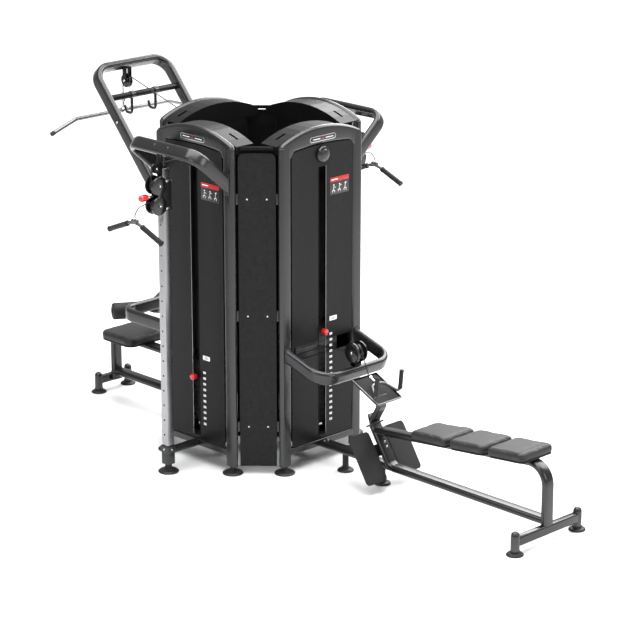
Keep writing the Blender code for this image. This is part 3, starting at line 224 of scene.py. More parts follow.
def rings_along(
    path: np.ndarray, section: np.ndarray, across: Sequence[float] | None,
) -> tuple[np.ndarray, np.ndarray]:
    """One ring of the section at every point of the path: point + u side + v up, mitred at the bends.

    Args:
        path: (n, 3) centre line.
        section: (m, 2) closed outline, anticlockwise, in (u, v).
        across: the section's u direction on a flat path; left out, it is carried round without twist.

    Returns:
        The (n, m, 3) rings and the (n, 3) unit directions of the path.
    """
    leaps = np.diff(path, axis=0)
    leaps /= np.linalg.norm(leaps, axis=1)[:, None]
    before, after = np.vstack([leaps[:1], leaps]), np.vstack([leaps, leaps[-1:]])
    ahead = before + after
    ahead /= np.linalg.norm(ahead, axis=1)[:, None]
    if across is None:
        sides = [np.array(Vector(ahead[0]).orthogonal().normalized())]
        for way in ahead[1:]:
            side = sides[-1] - way * np.dot(sides[-1], way)
            sides.append(side / np.linalg.norm(side))
        side = np.array(sides)
        up = np.cross(ahead, side)
    else:
        side = np.tile(np.array(Vector(across).normalized()), (len(path), 1))
        up = np.cross(ahead, side)
        up /= np.linalg.norm(up, axis=1)[:, None] * np.clip((ahead * after).sum(axis=1), 0.2, 1)[:, None]
    return path[:, None] + section[None, :, :1] * side[:, None] + section[None, :, 1:] * up[:, None], ahead


def swept(
    path: np.ndarray, section: np.ndarray, across: Sequence[float] | None = None, lip: float = 0.002,
) -> Surface:
    """The section carried along the path, with both ends' rims rounded.

    Args:
        path: (n, 3) centre line.
        section: (m, 2) closed outline, anticlockwise.
        across: the section's u direction on a flat path.
        lip: radius of the rounded rims, or 0 for plain ends.

    Returns:
        The closed surface.
    """
    path = np.asarray(path, float)
    rings, ahead = rings_along(path, section, across)
    if lip > 0:
        turns = np.radians([0, 35, 65, 90])
        shrink = 1 - lip / np.abs(section).max() * (1 - np.sin(turns))
        shift = lip * (1 - np.cos(turns))
        ends = []
        for index, way in ((0, 1), (-1, -1)):
            rims = path[index] + (rings[index] - path[index]) * shrink[:, None, None]
            rims = rims + ahead[index] * way * shift[:, None, None]
            ends.append(rims[::way])
        rings = np.concatenate([ends[0], rings[1:-1], ends[1]])
    return grid(rings)


def straight(
    start: Sequence[float], end: Sequence[float], section: np.ndarray, across: Sequence[float] | None = None,
    lip: float = 0.002,
) -> Surface:
    """A section carried along a straight line from start to end, as swept does it."""
    return swept(np.array([start, end]), section, across, lip)


def lathed(
    profile: Sequence[Sequence[float]], centre: Sequence[float], axis: Sequence[float], sides: int = 40,
    soften: float = 0.0,
) -> Surface:
    """A turned shape: (r cos a, r sin a, h) for each (r, h) of the profile, then laid along the axis.

    Args:
        profile: (radius, height) points from one end of the axis to the other.
        centre: where height 0 comes.
        axis: the way that height grows.
        sides: steps round the axis.
        soften: radius that rounds the profile's inner corners.

    Returns:
        The closed surface.
    """
    if soften > 0:
        points = bent([(radius, 0, height) for radius, height in profile], soften, 4)[:, [0, 2]]
    else:
        points = np.array(profile, float)
    points[:, 0] = np.maximum(points[:, 0], 0.00005)
    angle = np.linspace(0, 2 * math.pi, sides, endpoint=False)
    ring = np.stack([np.cos(angle), np.sin(angle)], axis=1)
    rings = np.concatenate(
        [points[:, None, :1] * ring[None], np.repeat(points[:, None, 1:], sides, axis=1)], axis=2
    )
    turn = Vector(axis).to_track_quat("Z", "Y").to_matrix().to_4x4()
    return grid(rings).laid(Matrix.Translation(centre) @ turn)


def rod(
    start: Sequence[float], end: Sequence[float], radius: float, sides: int = 24, lip: float = 0.0015,
) -> Surface:
    """A round bar between two points with softly rounded ends."""
    return swept(np.array([start, end], float), circle(radius, sides), None, lip)


def plate(outline: np.ndarray, start: float, end: float, plane: str = "YZ", edge: float = 0.0015) -> Surface:
    """A flat outline given thickness, its rims rounded by the edge radius.

    Args:
        outline: (m, 2) points, anticlockwise in the plane's own two axes.
        start: one face's place on the axis that the plane leaves out.
        end: the other face's place.
        plane: YZ, XZ or XY.
        edge: radius of the rounded rims.

    Returns:
        The closed surface.
    """
    ahead = np.roll(outline, -1, axis=0) - outline
    behind = outline - np.roll(outline, 1, axis=0)
    tangent = ahead / np.linalg.norm(ahead, axis=1)[:, None] + behind / np.linalg.norm(
        behind, axis=1
    )[:, None]
    tangent /= np.linalg.norm(tangent, axis=1)[:, None]
    outward = np.stack([tangent[:, 1], -tangent[:, 0]], axis=1)
    turns = np.radians([90, 60, 30, 0])
    inset = edge * (1 - np.cos(turns))
    rise = edge * (1 - np.sin(turns))
    sign = 1 if end > start else -1
    insets = np.concatenate([inset, inset[::-1]])
    heights = np.concatenate([start + sign * rise, (end - sign * rise)[::-1]])
    flat = outline[None] - outward[None] * insets[:, None, None]
    high = np.repeat(heights[:, None, None], len(outline), axis=1)
    order = {"YZ": (2, 0, 1), "XZ": (0, 2, 1), "XY": (0, 1, 2)}[plane]
    rings = np.concatenate([flat, high], axis=2)[:, :, order]
    reverse = (sign < 0) != (plane == "XZ")
    return grid(rings[:, ::-1] if reverse else rings)


def block(low: Sequence[float], high: Sequence[float], edge: float = 0.002) -> Surface:
    """A box between two corners with rounded edges."""
    low, high = np.array(low, float), np.array(high, float)
    size, middle = high - low, (high + low) / 2
    outline = soft_rectangle(size[0], size[1], min(edge, size[0] / 2.1, size[1] / 2.1), 3) + middle[:2]
    return plate(outline, low[2], high[2], "XY", min(edge, size[2] / 2.1) * 0.9)


def arch_height(across: np.ndarray, half: float, base: float, rise: float) -> np.ndarray:
    """Height of a shallow circular arc through (-half, base), (0, base + rise) and (half, base)."""
    radius = (half * half + rise * rise) / (2 * rise)
    return base + rise - radius + np.sqrt(np.maximum(radius * radius - across * across, 0))


# ---- Shared shader effects ----------------------------------------------------------------------
class Nodes:
    """A small hand for wiring one node tree."""

    def __init__(self, tree: bpy.types.NodeTree) -> None:
        """Args: tree: the node tree that new nodes go into."""
        self.tree = tree

    def add(self, kind: str, **settings: object) -> bpy.types.Node:
        """A new node of that kind with its plain settings applied."""
        node = self.tree.nodes.new(kind)
        for name, value in settings.items():
            setattr(node, name, value)
        return node

    def join(self, start: bpy.types.NodeSocket, end: bpy.types.NodeSocket) -> None:
        """A link from one socket to another."""
        self.tree.links.new(start, end)

    def sums(self, kind: str, left: object, right: object, third: object = None) -> bpy.types.NodeSocket:
        """The result of a Math node whose inputs are sockets or numbers."""
        node = self.add("ShaderNodeMath", operation=kind)
        for index, value in enumerate((left, right, third)):
            if isinstance(value, bpy.types.NodeSocket):
                self.join(value, node.inputs[index])
            elif value is not None:
                node.inputs[index].default_value = value
        return node.outputs[0]


def new_group(
    name: str, inputs: dict[str, tuple[str, object]], outputs: dict[str, str],
) -> bpy.types.ShaderNodeTree:
    """An empty shader group with its sockets made."""
    group = bpy.data.node_groups.new(name, "ShaderNodeTree")
    for label, (kind, value) in inputs.items():
        socket = group.interface.new_socket(label, in_out="INPUT", socket_type=kind)
        if value is not None:
            socket.default_value = value
    for label, kind in outputs.items():
        group.interface.new_socket(label, in_out="OUTPUT", socket_type=kind)
    return group


def drift_group() -> bpy.types.ShaderNodeTree:
    """Slow changes: colour x (1 + amount x (noise - 0.5)), roughness + spread x (noise - 0.5)."""
    group = new_group(
        "drift",
        {
            "Colour": ("NodeSocketColor", None), "Amount": ("NodeSocketFloat", 0.2),
            "Roughness": ("NodeSocketFloat", 0.4), "Spread": ("NodeSocketFloat", 0.1),
            "Scale": ("NodeSocketFloat", 6.0),
        },
        {"Colour": "NodeSocketColor", "Roughness": "NodeSocketFloat"},
    )
    wire = Nodes(group)
    source, result = wire.add("NodeGroupInput"), wire.add("NodeGroupOutput")
    place = wire.add("ShaderNodeTexCoord")
    noise = wire.add("ShaderNodeTexNoise")
    noise.inputs["Detail"].default_value = 6
    wire.join(place.outputs["Object"], noise.inputs["Vector"])
    wire.join(source.outputs["Scale"], noise.inputs["Scale"])
    centred = wire.sums("SUBTRACT", noise.outputs["Fac"], 0.5)
    share = wire.sums("MULTIPLY_ADD", centred, source.outputs["Amount"], 1.0)
    scaled = wire.add("ShaderNodeVectorMath", operation="SCALE")
    wire.join(source.outputs["Colour"], scaled.inputs[0])
    wire.join(share, scaled.inputs["Scale"])
    wire.join(scaled.outputs[0], result.inputs["Colour"])
    wire.join(
        wire.sums("MULTIPLY_ADD", centred, source.outputs["Spread"], source.outputs["Roughness"]),
        result.inputs["Roughness"],
    )
    return group


def grain_group() -> bpy.types.ShaderNodeTree:
    """Fine relief: a fine noise mixed with a pebble pattern by their share, as one height."""
    group = new_group("grain", {
        "Scale": ("NodeSocketFloat", 900.0), "Pebbles": ("NodeSocketFloat", 0.0),
    }, {"Height": "NodeSocketFloat"})
    wire = Nodes(group)
    source, result = wire.add("NodeGroupInput"), wire.add("NodeGroupOutput")
    place = wire.add("ShaderNodeTexCoord")
    noise = wire.add("ShaderNodeTexNoise")
    noise.inputs["Detail"].default_value = 3
    cells = wire.add("ShaderNodeTexVoronoi", feature="DISTANCE_TO_EDGE")
    for texture in (noise, cells):
        wire.join(place.outputs["Object"], texture.inputs["Vector"])
        wire.join(source.outputs["Scale"], texture.inputs["Scale"])
    blend = wire.add("ShaderNodeMix", data_type="FLOAT")
    wire.join(source.outputs["Pebbles"], blend.inputs[0])
    wire.join(noise.outputs["Fac"], blend.inputs[2])
    wire.join(
        wire.sums("MINIMUM", wire.sums("MULTIPLY", cells.outputs["Distance"], 4.0), 1.0), blend.inputs[3]
    )
    wire.join(blend.outputs[0], result.inputs["Height"])
    return group


def wear_group() -> bpy.types.ShaderNodeTree:
    """Rubbed edges: where the surface turns sharply outwards, broken up by noise, the worn colour shows."""
    group = new_group(
        "edge_wear",
        {
            "Colour": ("NodeSocketColor", None), "Worn": ("NodeSocketColor", None),
            "Amount": ("NodeSocketFloat", 0.3),
        },
        {"Colour": "NodeSocketColor", "Mask": "NodeSocketFloat"},
    )
    wire = Nodes(group)
    source, result = wire.add("NodeGroupInput"), wire.add("NodeGroupOutput")
    shape = wire.add("ShaderNodeNewGeometry")
    place = wire.add("ShaderNodeTexCoord")
    noise = wire.add("ShaderNodeTexNoise")
    noise.inputs["Scale"].default_value = 45
    noise.inputs["Detail"].default_value = 5
    wire.join(place.outputs["Object"], noise.inputs["Vector"])
    sharp = wire.add("ShaderNodeMapRange")
    sharp.inputs["From Min"].default_value = 0.53
    sharp.inputs["From Max"].default_value = 0.62
    wire.join(shape.outputs["Pointiness"], sharp.inputs["Value"])
    broken = wire.sums("MULTIPLY", sharp.outputs[0], wire.sums("MULTIPLY", noise.outputs["Fac"], 1.6))
    mask = wire.sums("MINIMUM", wire.sums("MULTIPLY", broken, source.outputs["Amount"]), 1.0)
    blend = wire.add("ShaderNodeMix", data_type="RGBA")
    wire.join(mask, blend.inputs[0])
    wire.join(source.outputs["Colour"], blend.inputs[6])
    wire.join(source.outputs["Worn"], blend.inputs[7])
    wire.join(blend.outputs[2], result.inputs["Colour"])
    wire.join(mask, result.inputs["Mask"])
    return group


def dust_group() -> bpy.types.ShaderNodeTree:
    """Dust on what faces up: the normal's height, cubed and broken by noise, lightens the colour."""
    group = new_group("dust", {
        "Colour": ("NodeSocketColor", None), "Amount": ("NodeSocketFloat", 0.03),
    }, {"Colour": "NodeSocketColor"})
    wire = Nodes(group)
    source, result = wire.add("NodeGroupInput"), wire.add("NodeGroupOutput")
    shape, place = wire.add("ShaderNodeNewGeometry"), wire.add("ShaderNodeTexCoord")
    parts = wire.add("ShaderNodeSeparateXYZ")
    wire.join(shape.outputs["Normal"], parts.inputs[0])
    noise = wire.add("ShaderNodeTexNoise")
    noise.inputs["Scale"].default_value = 14
    wire.join(place.outputs["Object"], noise.inputs["Vector"])
    upward = wire.sums("POWER", wire.sums("MAXIMUM", parts.outputs["Z"], 0.0), 3.0)
    mask = wire.sums(
        "MULTIPLY", wire.sums("MULTIPLY", upward, noise.outputs["Fac"]), source.outputs["Amount"]
    )
    blend = wire.add("ShaderNodeMix", data_type="RGBA")
    wire.join(mask, blend.inputs[0])
    wire.join(source.outputs["Colour"], blend.inputs[6])
    blend.inputs[7].default_value = (0.42, 0.41, 0.39, 1)
    wire.join(blend.outputs[2], result.inputs["Colour"])
    return group


# ---- Finishes -----------------------------------------------------------------------------------
class Pattern(Enum):
    """Relief that follows a piece's own UVs."""

    NONE = "none"
    RIBS = "ribs"
    BRUSHED = "brushed"
    STRANDS = "strands"
    TREAD = "tread"


@dataclass(frozen=True)
class Finish:
    """One material: a base colour that drifts and wears, a fine grain and, if any, a pattern on the UVs."""

    name: str
    colour: tuple[float, float, float]
    roughness: float
    metallic: float = 0.0
    coat: float = 0.0
    coat_roughness: float = 0.1
    specular: float = 0.5
    sheen: float = 0.0
    drift: float = 0.25
    spread: float = 0.10
    grain_scale: float = 700.0
    grain_depth: float = 0.00005
    pebbles: float = 0.0
    worn: tuple[float, float, float] = (0.3, 0.3, 0.3)
    wear: float = 0.0
    dust: float = 0.02
    pattern: Pattern = Pattern.NONE
    pitch: float = 0.004
    relief: float = 0.0004

    def material(self, groups: dict[str, bpy.types.ShaderNodeTree]) -> bpy.types.Material:
        """The finish as a Principled material.

        Args:
            groups: the shared effects by name.

        Returns:
            The new material.
        """
        material = bpy.data.materials.new(self.name)
        material.use_nodes = True
        wire = Nodes(material.node_tree)
        shader = material.node_tree.nodes["Principled BSDF"]
        shader.inputs["Metallic"].default_value = self.metallic
        shader.inputs["Coat Weight"].default_value = self.coat
        shader.inputs["Coat Roughness"].default_value = self.coat_roughness
        shader.inputs["Specular IOR Level"].default_value = self.specular
        shader.inputs["Sheen Weight"].default_value = self.sheen
        drift = wire.add("ShaderNodeGroup", node_tree=groups["drift"])
        drift.inputs["Colour"].default_value = (*self.colour, 1)
        drift.inputs["Amount"].default_value = self.drift
        drift.inputs["Roughness"].default_value = self.roughness
        drift.inputs["Spread"].default_value = self.spread
        colour = drift.outputs["Colour"]
        if self.wear > 0:
            wear = wire.add("ShaderNodeGroup", node_tree=groups["wear"])
            wear.inputs["Worn"].default_value = (*self.worn, 1)
            wear.inputs["Amount"].default_value = self.wear
            wire.join(colour, wear.inputs["Colour"])
            colour = wear.outputs["Colour"]
        if self.dust > 0:
            dust = wire.add("ShaderNodeGroup", node_tree=groups["dust"])
            dust.inputs["Amount"].default_value = self.dust
            wire.join(colour, dust.inputs["Colour"])
            colour = dust.outputs["Colour"]
        wire.join(colour, shader.inputs["Base Color"])
        wire.join(drift.outputs["Roughness"], shader.inputs["Roughness"])
        grain = wire.add("ShaderNodeGroup", node_tree=groups["grain"])
        grain.inputs["Scale"].default_value = self.grain_scale
        grain.inputs["Pebbles"].default_value = self.pebbles
        bump = wire.add("ShaderNodeBump")
        bump.inputs["Distance"].default_value = self.grain_depth
        wire.join(grain.outputs["Height"], bump.inputs["Height"])
        if self.pattern is not Pattern.NONE:
            second = wire.add("ShaderNodeBump")
            second.inputs["Distance"].default_value = self.relief
            wire.join(self._pattern_height(wire), second.inputs["Height"])
            wire.join(bump.outputs["Normal"], second.inputs["Normal"])
            bump = second
        wire.join(bump.outputs["Normal"], shader.inputs["Normal"])
        return material

    def _pattern_height(self, wire: Nodes) -> bpy.types.NodeSocket:
        """Height: sines of v over the pitch for ribs, of u + v for strands, of u and v for tread."""
        place = wire.add("ShaderNodeUVMap", uv_map="flow")
        parts = wire.add("ShaderNodeSeparateXYZ")
        wire.join(place.outputs[0], parts.inputs[0])
        across, along = parts.outputs["X"], parts.outputs["Y"]
        beat = 2 * math.pi / self.pitch
        if self.pattern is Pattern.BRUSHED:
            mapped = wire.add("ShaderNodeMapping")
            mapped.inputs["Scale"].default_value = (900, 12, 1)
            wire.join(place.outputs[0], mapped.inputs["Vector"])
            noise = wire.add("ShaderNodeTexNoise")
            noise.inputs["Scale"].default_value = 1
            wire.join(mapped.outputs[0], noise.inputs["Vector"])
            return noise.outputs["Fac"]
        if self.pattern is Pattern.STRANDS:
            phase = wire.sums(
                "ADD", wire.sums("MULTIPLY", across, beat), wire.sums("MULTIPLY", along, beat * 0.5)
            )
            return wire.sums("SINE", phase, 0.0)
        ribs = wire.sums("SINE", wire.sums("MULTIPLY", along, beat), 0.0)
        if self.pattern is Pattern.TREAD:
            cross = wire.sums("SINE", wire.sums("MULTIPLY", across, beat), 0.0)
            return wire.sums("MAXIMUM", ribs, cross)
        return ribs


class Slot(Enum):
    """The record's finishes, by the name of their slot."""

    FRAME = "frame_grey"
    COVER = "cover_black"
    STEEL = "steel"
    CHROME = "chrome"
    VINYL = "upholstery"
    FOAM = "foam"
    RUBBER = "rubber"
    KNOB = "knob_red"
    CABLE = "cable_black"


FINISHES = {
    "frame": Finish(
        "frame_paint", (0.044, 0.0442, 0.0450), 0.25, 0.8, specular=0.25, coat=0.05, coat_roughness=0.2,
        drift=0.12, grain_scale=1400, grain_depth=0.00003, worn=(0.16, 0.16, 0.17), wear=0.3, dust=0.006,
    ),
    "cover": Finish(
        "cover_paint", (0.0040, 0.0040, 0.0042), 0.34, 0.0, specular=0.11, coat=0.01, coat_roughness=0.16,
        drift=0.2, grain_scale=1100, grain_depth=0.00003, worn=(0.05, 0.05, 0.05), wear=0.15, dust=0.002,
    ),
    "hood": Finish(
        "hood_paint", (0.0036, 0.0036, 0.0038), 0.36, 0.0, specular=0.13, coat=0.01, coat_roughness=0.3,
        drift=0.2, grain_scale=900, grain_depth=0.00004, dust=0.003,
    ),
    "plates": Finish(
        "plate_paint", (0.016, 0.016, 0.017), 0.42, 0.2, specular=0.25, drift=0.3, grain_scale=600,
        grain_depth=0.0001, worn=(0.10, 0.10, 0.10), wear=0.4, dust=0.006,
    ),
    "steel": Finish(
        "steel_brushed", (0.42, 0.42, 0.43), 0.30, 1.0, drift=0.12, grain_scale=800, grain_depth=0.00002,
        dust=0, pattern=Pattern.BRUSHED, relief=0.00004,
    ),
    "bar": Finish(
        "bar_satin", (0.11, 0.11, 0.115), 0.32, 0.9, drift=0.2, grain_scale=900, grain_depth=0.00002,
        worn=(0.4, 0.4, 0.4), wear=0.3, dust=0, pattern=Pattern.BRUSHED, relief=0.00004,
    ),
    "chrome": Finish(
        "chrome_plate", (0.56, 0.56, 0.57), 0.14, 1.0, drift=0.06, spread=0.06, grain_scale=300,
        grain_depth=0.00001, dust=0,
    ),
    "vinyl": Finish(
        "vinyl_grain", (0.012, 0.012, 0.013), 0.46, 0.0, coat=0.0, specular=0.30, sheen=0.03, drift=0.25,
        spread=0.14, grain_scale=520, grain_depth=0.00022, pebbles=0.7, dust=0.004,
    ),
    "foam": Finish(
        "foam_skin", (0.010, 0.010, 0.011), 0.56, 0.0, specular=0.28, drift=0.3, grain_scale=380,
        grain_depth=0.0003, pebbles=0.4, dust=0.004,
    ),
    "rubber": Finish(
        "rubber_ribbed", (0.011, 0.011, 0.0115), 0.52, 0.0, specular=0.3, drift=0.3, grain_scale=500,
        grain_depth=0.00008, dust=0.003, pattern=Pattern.RIBS, pitch=0.0055, relief=0.0012,
    ),
    "tread": Finish(
        "rubber_tread", (0.012, 0.012, 0.0125), 0.60, 0.0, specular=0.25, drift=0.35, grain_scale=400,
        grain_depth=0.0001, dust=0.004, pattern=Pattern.TREAD, pitch=0.0065, relief=0.0012,
    ),
    "foot": Finish(
        "foot_rubber", (0.010, 0.010, 0.010), 0.45, 0.0, specular=0.3, drift=0.3, grain_scale=500,
        grain_depth=0.0001, dust=0.02,
    ),
    "gloss": Finish(
        "gloss_black", (0.006, 0.006, 0.0065), 0.16, 0.0, specular=0.4, coat=0.15, coat_roughness=0.06,
        drift=0.2, spread=0.05, grain_scale=200, grain_depth=0.00003, dust=0,
    ),
    "red": Finish(
        "knob_red", (0.44, 0.006, 0.010), 0.24, 0.0, coat=0.5, coat_roughness=0.08, drift=0.12, spread=0.06,
        grain_scale=300, grain_depth=0.00003, dust=0,
    ),
    "label": Finish(
        "label_white", (0.74, 0.74, 0.73), 0.40, 0.0, drift=0.1, grain_scale=1500, grain_depth=0.00001,
        dust=0,
    ),
    "label_red": Finish(
        "label_red", (0.34, 0.006, 0.010), 0.38, 0.0, drift=0.1, grain_scale=1500, grain_depth=0.00001,
        dust=0,
    ),
    "label_dark": Finish(
        "label_black", (0.010, 0.010, 0.010), 0.34, 0.0, drift=0.1, grain_scale=1500, grain_depth=0.00001,
        dust=0,
    ),
    "cable": Finish(
        "cable_coat", (0.012, 0.012, 0.0125), 0.34, 0.0, specular=0.3, drift=0.1, dust=0,
        pattern=Pattern.STRANDS, pitch=0.0032, relief=0.0002,
    ),
    "column": Finish(
        "column_satin", (0.30, 0.30, 0.305), 0.26, 1.0, drift=0.08, spread=0.06, grain_scale=900,
        grain_depth=0.00001, dust=0, pattern=Pattern.BRUSHED, relief=0.00003,
    ),
    # Painted shade: a near black, dull colour for the discs that stand in for the hollow inside the column's
    # holes.
    "hole_shade": Finish(
        "hole_painted_shade", (0.004, 0.004, 0.004), 0.7, 0.0, drift=0.3, grain_scale=400, grain_depth=0.00002, dust=0
    ),
    "pull_bar": Finish(
        "pull_bar_satin", (0.15, 0.15, 0.154), 0.32, 1.0, drift=0.12, grain_scale=900, grain_depth=0.00001,
        dust=0, pattern=Pattern.BRUSHED, relief=0.00002,
    ),
}


@dataclass
class Workshop:
    """Makes finished pieces: a surface, its material, the body it rides on and the nodes it stands for."""

    materials: dict[str, bpy.types.Material] = field(default_factory=dict)

    def __post_init__(self) -> None:
        """Builds the shared effects and every material."""
        groups = {"drift": drift_group(), "grain": grain_group(), "wear": wear_group(), "dust": dust_group()}
        self.materials = {name: finish.material(groups) for name, finish in FINISHES.items()}

    def mesh(self, name: str, surface: Surface, finish: str) -> bpy.types.Object:
        """An object at the origin with the surface as its mesh.

        Args:
            name: the piece's name.
            surface: its shape.
            finish: key of its finish.

        Returns:
            The object, linked and smooth shaded.
        """
        mesh = bpy.data.meshes.new(name)
        faces = [face for group in surface.faces for face in group.tolist()]
        mesh.from_pydata(surface.points.tolist(), [], faces)
        layer = mesh.uv_layers.new(name="flow")
        layer.data.foreach_set(
            "uv", np.concatenate([uv.reshape(-1) for uv in surface.uvs]).astype(np.float32)
        )
        mesh.shade_smooth()
        mesh.set_sharp_from_angle(angle=math.radians(34))
        mesh.materials.append(self.materials[finish])
        piece = bpy.data.objects.new(name, mesh)
        bpy.context.scene.collection.objects.link(piece)
        return piece

    def piece(
        self, name: str, parts: Sequence[Surface], finish: str, body: str, slot: Slot, turn: float = 0.0,
        stands_for: Sequence[str] = (),
    ) -> bpy.types.Object:
        """A finished piece that rides on a body.

        Args:
            name: the piece's name.
            parts: its surfaces in the station's own frame.
            finish: key of its finish.
            body: the body it moves with.
            slot: the record's slot; not used.
            turn: the station's angle.
            stands_for: frame nodes that it is shown in place of.

        Returns:
            The piece.
        """
        made = self.mesh(name, joined(parts).turned(turn), finish)
        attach(made, body)
        if stands_for:
            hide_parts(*stands_for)
        LOG.info("%s: %d faces on %s", name, len(made.data.polygons), body)
        return made

    def strand(self, name: str, run: np.ndarray, taut: np.ndarray, bodies: tuple[str, str], turn: float,
               stands_for: Sequence[str] = ()) -> None:
        """A cable whose run stands still up to its last wheel, and a straight rest from there to the handle.

        Args:
            name: the piece's name.
            run: points of the run in the station's own frame, ending on the wheel, or none.
            taut: points of the straight rest, from the wheel to the handle.
            bodies: the body that the run rides on, and the one at the rest's far end, which only the log names.
            turn: the station's angle.
            stands_for: frame nodes that it is shown in place of.
        """
        section = circle(CABLE_RADIUS, 12)
        made = self.mesh(name, swept(taut, section, None, 0.0004).turned(turn), "cable")
        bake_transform(made)
        if stands_for:
            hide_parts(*stands_for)
        if len(run):
            self.piece(
                f"{name}_run", [swept(run, section, None, 0.0004)], "cable", bodies[0], Slot.CABLE, turn
            )
        LOG.info("%s: cable between %s and %s", name, *bodies)

    def dress(self, node: str, finish: str) -> None:
        """A frame node keeps its shape and gets a finish."""
        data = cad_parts[node].data
        data.materials.clear()
        data.materials.append(self.materials[finish])


# ---- Parts that several stations share ----------------------------------------------------------
def u_bar(start_z: float, front: float, angle: float, bend: float) -> Surface:
    """A U of flat oval from both uprights to a cross member in a tilted plane, its ends cut flush.

    Args:
        start_z: the centre line's height at the uprights' faces.
        front: how far out the cross member's centre line is.
        angle: the plane's tilt, upwards positive.
        bend: radius of the two bends.

    Returns:
        The closed surface.
    """
    out = np.array([math.cos(angle), 0, math.sin(angle)])
    root = np.array([UPRIGHT_FACE, 0, start_z])
    side = np.array([0, UPRIGHT_SPREAD, 0])
    far = root + out * (front - UPRIGHT_FACE) / math.cos(angle)
    path = bent([root - side, far - side, far + side, root + side], bend, 14)
    rings, _ = rings_along(path, stadium(TUBE_WIDE, TUBE_THIN), (-math.sin(angle), 0, math.cos(angle)))
    for index in (0, -1):
        rings[index] += out * ((UPRIGHT_FACE - 0.001 - rings[index][:, :1]) / out[0])
    return grid(rings)


def flanges(z: float, angle: float) -> list[Surface]:
    """The two plates under a U-bar's ends."""
    tall = TUBE_WIDE / math.cos(angle) / 2
    parts = []
    for side in SIDES:
        y = side * UPRIGHT_SPREAD
        outline = soft_rectangle(0.044, 2 * tall + 0.020, 0.008) + (y, z)
        parts.append(plate(outline, UPRIGHT_FACE, UPRIGHT_FACE + 0.006))
    return parts


def bolt(centre: Sequence[float], axis: Sequence[float], size: float = 0.009) -> Surface:
    """A button-head screw: a low dome with a socket in its middle."""
    profile = [
        (0, 0), (size, 0), (size * 0.95, size * 0.25), (size * 0.75, size * 0.55), (size * 0.42, size * 0.66),
        (size * 0.40, size * 0.35), (0, size * 0.33),
    ]
    return lathed(profile, centre, axis, 24)


def levelling_foot(x: float, y: float, radius: float, top: float, stem: float = 0.016) -> Surface:
    """A domed disc on the floor and its stem."""
    profile = [
        (0, 0), (radius, 0), (radius, 0.006), (radius * 0.86, 0.0125), (radius * 0.52, 0.0165),
        (stem + 0.006, 0.019), (stem + 0.006, 0.026), (stem, 0.028), (stem, top), (0, top),
    ]
    return lathed(profile, (x, y, 0), (0, 0, 1), 48, 0.0016)


def dome_post(x: float, y: float) -> list[Surface]:
    """A round end post of a foot bar: a straight tube under a domed cap."""
    profile = [
        (0, 0.018), (0.025, 0.018), (0.025, 0.106), (0.0235, 0.116), (0.019, 0.125), (0.011, 0.131),
        (0, 0.132),
    ]
    return [lathed(profile, (x, y, 0), (0, 0, 1), 40)]


def wheel(centre: Sequence[float], axis: Sequence[float], groove: float, rim: float, half: float) -> Surface:
    """A cable wheel: a V groove whose bottom is a small arc, between two flat cheeks."""
    profile = [
        (0, -half), (rim * 0.45, -half), (rim * 0.50, -half * 0.7), (rim * 0.82, -half * 0.7),
        (rim * 0.86, -half), (rim, -half), (groove + 0.001, -half * 0.35), (groove, 0),
        (groove + 0.001, half * 0.35), (rim, half), (rim * 0.86, half), (rim * 0.82, half * 0.7),
        (rim * 0.50, half * 0.7), (rim * 0.45, half), (0, half),
    ]
    return lathed(profile, centre, axis, 48)


def round_cover(centre: Sequence[float], side: int, radius: float, thick: float) -> Surface:
    """A domed pulley cover with a raised hub and a rounded rim."""
    profile = [
        (0, 0), (radius, 0), (radius, thick * 0.45), (radius * 0.93, thick * 0.72),
        (radius * 0.80, thick * 0.80), (radius * 0.34, thick * 0.86), (radius * 0.30, thick),
        (radius * 0.12, thick), (radius * 0.10, thick * 0.9), (0, thick * 0.9),
    ]
    return lathed(profile, centre, (0, side, 0), 56)


def grip(start: Sequence[float], end: Sequence[float], radius: float) -> Surface:
    """A rubber grip: a sleeve with a thicker collar at both ends."""
    start, end = Vector(start), Vector(end)
    long = (end - start).length
    profile = [(0, 0), (radius * 1.04, 0), (radius * 1.04, 0.008), (radius * 0.96, 0.011)]
    count = max(4, int(long / 0.004))
    profile += [(radius * 0.96, 0.011 + (long - 0.024) * step / count) for step in range(1, count + 1)]
    profile += [(radius * 1.04, long - 0.010), (radius * 1.04, long - 0.002), (radius * 0.9, long), (0, long)]
    return lathed(profile, start, end - start, 32)


def shackle(
    top: Sequence[float], tall: float, half: float, gauge: float, across: Sequence[float],
) -> list[Surface]:
    """A bow of round bar hanging from a pin: two legs, an arc below and the pin.

    Args:
        top: the pin's middle.
        tall: height from the pin to the bow's lowest centre line.
        half: half the distance between the legs.
        gauge: the bar's radius.
        across: the pin's direction.

    Returns:
        The bow and the pin.
    """
    top, way = np.array(top, float), np.array(Vector(across).normalized())
    turn = np.radians(np.linspace(180, 360, 15))
    low = top - (0, 0, tall - half)
    bow = low + half * np.cos(turn)[:, None] * way + half * np.sin(turn)[:, None] * np.array((0, 0, 1.0))
    path = np.concatenate([[top - half * way], bow, [top + half * way]])
    reach = half + gauge * 2.2
    return [
        swept(path, circle(gauge, 12), None, 0.0004),
        rod(top - reach * way, top + reach * way, gauge * 1.5, 16, 0.0006),
    ]


DIGITS = {
    "0": "abcdef", "1": "bc", "2": "abged", "3": "abgcd", "4": "fgbc", "5": "afgcd", "6": "afgedc",
    "7": "abc", "8": "abcdefg", "9": "abcdfg",
}
STROKES = {
    "a": (0, 1, 1, 0), "b": (0.5, 0.5, 0, 1), "c": (0.5, -0.5, 0, 1), "d": (0, -1, 1, 0),
    "e": (-0.5, -0.5, 0, 1), "f": (-0.5, 0.5, 0, 1), "g": (0, 0, 1, 0),
}


